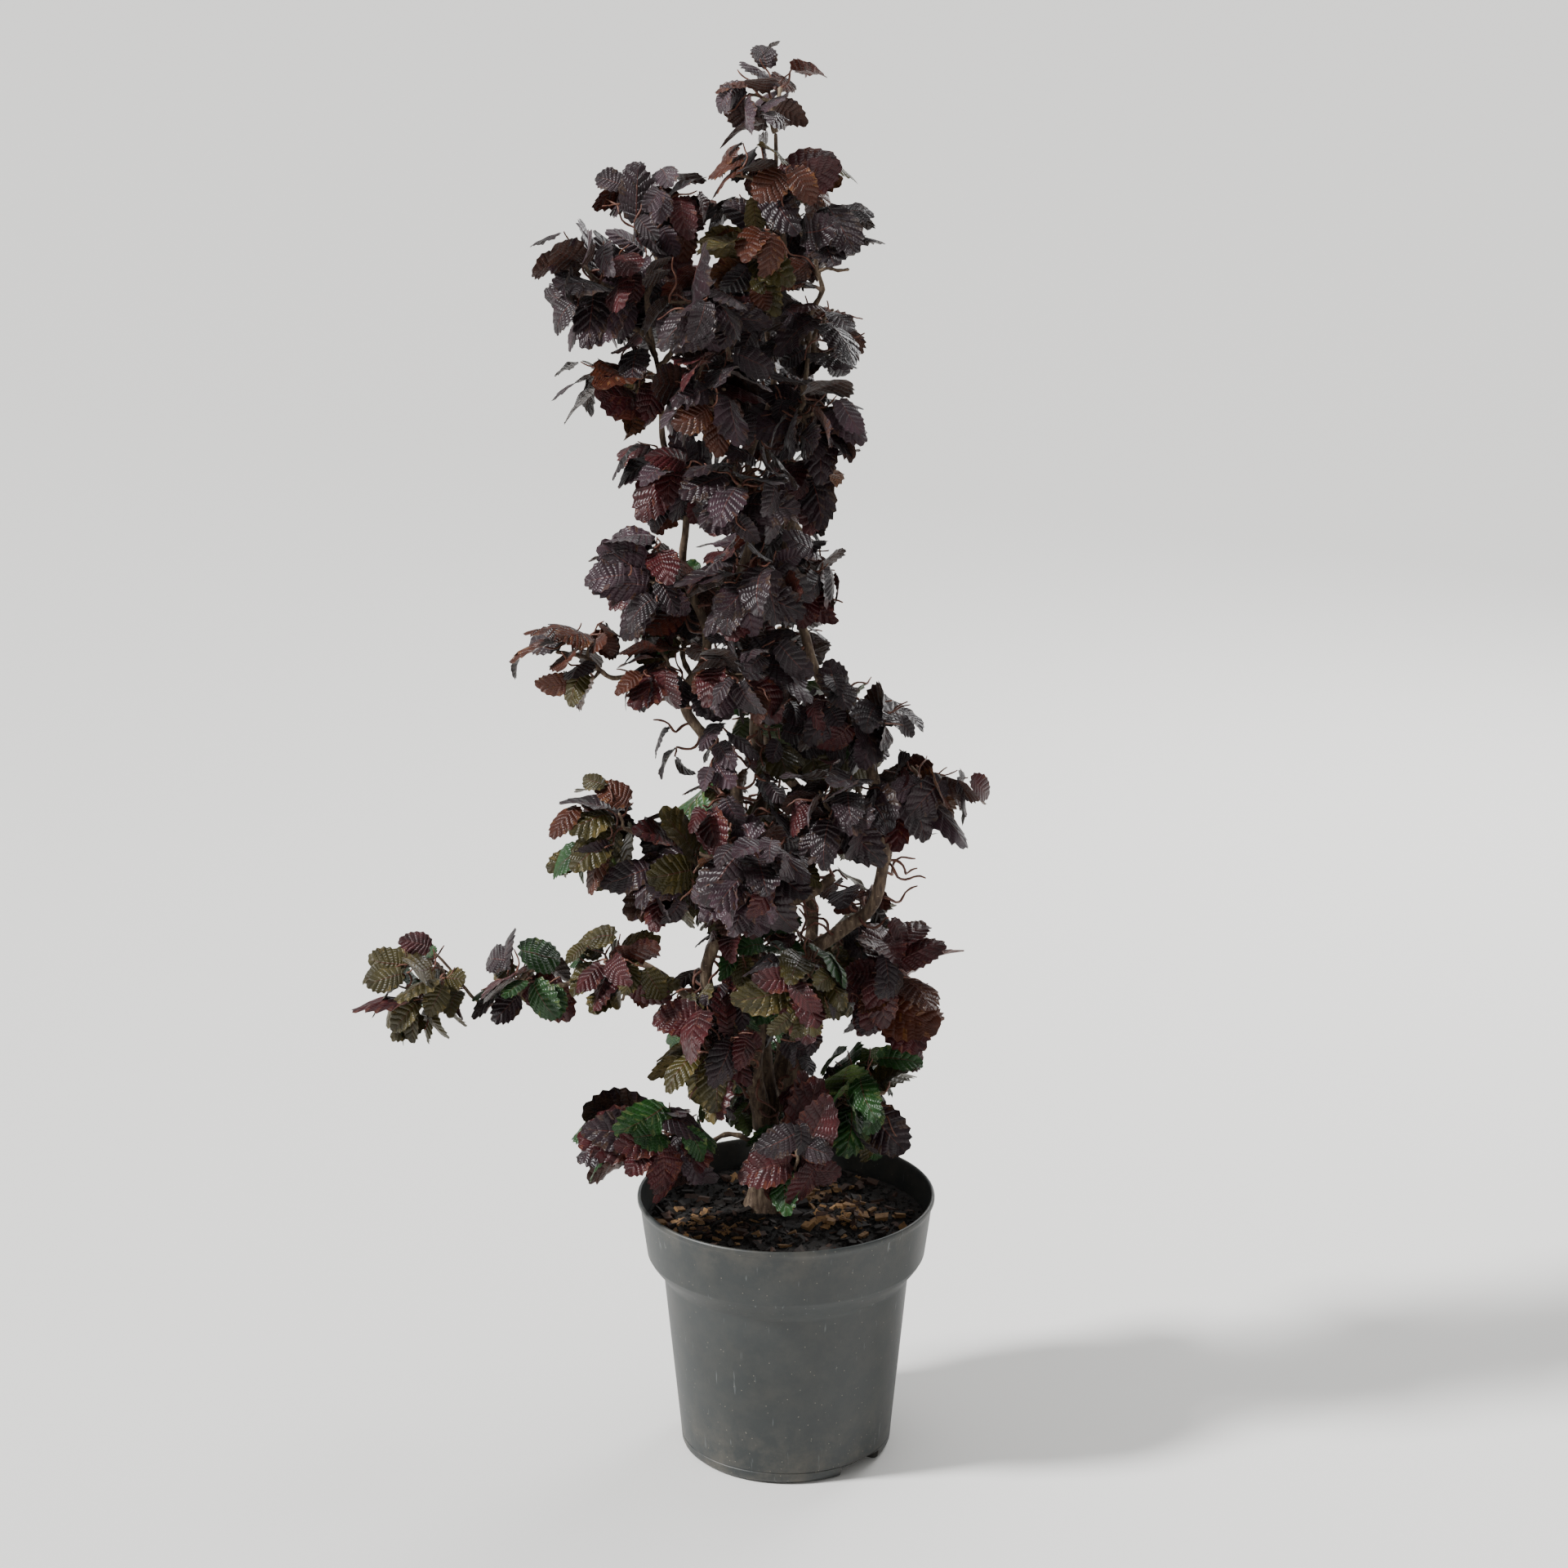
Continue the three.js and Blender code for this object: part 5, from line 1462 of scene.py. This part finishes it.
def scatter(count, sizes, flatness, nearHeaps):
    # Small split blocks lying on the compost, as joined arrays.
    corners = np.array([[x, y, z] for x in (-1, 1) for y in (-1, 1) for z in (-1, 1)], float)
    block = [(0, 1, 3, 2), (4, 6, 7, 5), (0, 4, 5, 1), (2, 3, 7, 6), (0, 2, 6, 4), (1, 5, 7, 3)]
    points, faces = [], []
    while len(points) < count:
        if heapNoise.random() < nearHeaps:
            heap = compost["heaps"][heapNoise.integers(len(compost["heaps"]))]
            x, y = heapNoise.normal(heap[:2], heap[3] * 0.75)
        else:
            x, y = heapNoise.uniform(-compost["radius"], compost["radius"], 2)
        length = heapNoise.uniform(*sizes)
        if math.hypot(x, y) > compost["radius"] - length / 2 or math.hypot(x + 20, y - 31) < 24:
            continue
        size = np.array([length, length * heapNoise.uniform(0.35, 0.75),
                         length * heapNoise.uniform(0.12, 0.4)]) / 2
        shape = corners * size * heapNoise.uniform(0.65, 1.1, (8, 3))
        turn, tilt, roll = heapNoise.uniform(0, 6.3), *heapNoise.normal(0, flatness, 2)
        for a, b, angle in ((0, 2, tilt), (1, 2, roll), (0, 1, turn)):
            c, s = math.cos(angle), math.sin(angle)
            shape[:, [a, b]] = np.stack([shape[:, a] * c - shape[:, b] * s,
                                         shape[:, a] * s + shape[:, b] * c], 1)
        high = groundAt(x, y) + size[2] * heapNoise.uniform(0.1, 1.2)
        faces += [tuple(corner + 8 * len(points) for corner in face) for face in block]
        points.append(shape + [x, y, high])
    return np.concatenate(points), faces


chipKinds = [
    ("chips_tan", 0.3, (5, 15), 0.86, [(0.3, "553b23"), (0.6, "80603a"), (0.8, "a88a5a")]),
    ("chips_brown", 0.3, (4, 15), 0.35, [(0.3, "25160f"), (0.6, "3d2619"), (0.8, "553a28")]),
    ("chips_dark", 0.4, (4, 14), 0.15, [(0.3, "0f0a07"), (0.6, "1d130d"), (0.8, "32241a")]),
]
for name, share, sizes, nearHeaps, stops in chipKinds:
    points, faces = scatter(int(compost["chips"] * share), sizes, 0.35, nearHeaps)
    pineBark = grittyMaterial("pineBark_" + name, stops, 0.0035, 0.0008, 0.85)
    addJoined(name, points, faces, pineBark, ["soil"], smooth=False)
points, faces = scatter(compost["crumbs"], (1.6, 5), 0.8, 0.25)
addJoined("crumbs", points, faces, pottingCompost, ["soil"], smooth=False)
print("the compost is filled in")

# A pale matt floor, an even sky, a soft sun from the left and three soft lamps: each lamp's place,
# the height it looks at, its width and its power.
studio = {
    "floor": "ecebe8",
    "world": "f7f7f6",
    "worldStrength": 0.46,
    "sunWay": (0.74, 0.2, -0.64),
    "sunStrength": 6.2,
    "sunAngle": 9,
    "lamps": {
        "fillLight": ((1.2, -3.2, 1.9), 0.6, 2.0, 8),
        "topLight": ((0.3, 0.4, 3.2), 0.7, 1.2, 26),
        "backLight": ((1.7, 2.6, 2.0), 0.7, 1.4, 55),
    },
    "cameraPlace": (-0.0019, -2.991, 1.532),
    "cameraTilt": 73.64,
    "lens": 78.75,
    "sensor": 36,
}
deselect()
bpy.ops.mesh.primitive_plane_add(size=90, location=(0, 0, 0))
floor = bpy.context.object
floor.name = floor.data.name = "floor"
paleFloor, tree = newMaterial("paleFloor")[:2]
closeMaterial(tree, {"Base Color": linear(studio["floor"]), "Roughness": 0.75})
floor.data.materials.append(paleFloor)
floor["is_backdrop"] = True

world = bpy.data.worlds.new("studio")
bpy.context.scene.world = world
world.use_nodes = True
world.node_tree.nodes.clear()
sky = addNode(world.node_tree, "Background", {"Color": linear(studio["world"]),
                                              "Strength": studio["worldStrength"]})
addNode(world.node_tree, "OutputWorld", links={"Surface": (sky, 0)})

for name, (spot, aim, size, power) in studio["lamps"].items():
    bpy.ops.object.light_add(type="AREA", location=spot)
    lamp = bpy.context.object
    lamp.name = name
    lamp.data.shape = "DISK"
    lamp.data.size = size
    lamp.data.energy = power
    way = Vector((0, 0, aim)) - Vector(spot)
    lamp.rotation_euler = way.to_track_quat("-Z", "Y").to_euler()

bpy.ops.object.light_add(type="SUN", location=(-2, -1, 3))
sun = bpy.context.object
sun.name = "keyLight"
sun.data.energy = studio["sunStrength"]
sun.data.angle = math.radians(studio["sunAngle"])
sun.rotation_euler = Vector(studio["sunWay"]).to_track_quat("-Z", "Y").to_euler()

bpy.ops.object.camera_add(location=studio["cameraPlace"],
                          rotation=(math.radians(studio["cameraTilt"]), 0, 0))
camera = bpy.context.object
camera.data.lens = studio["lens"]
camera.data.sensor_width = studio["sensor"]
bpy.context.scene.camera = camera
print("floor, light and camera are set")

sizes = {"cad": [list(corner) for corner in cadBox],
         "visual": [list(corner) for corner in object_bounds()]}
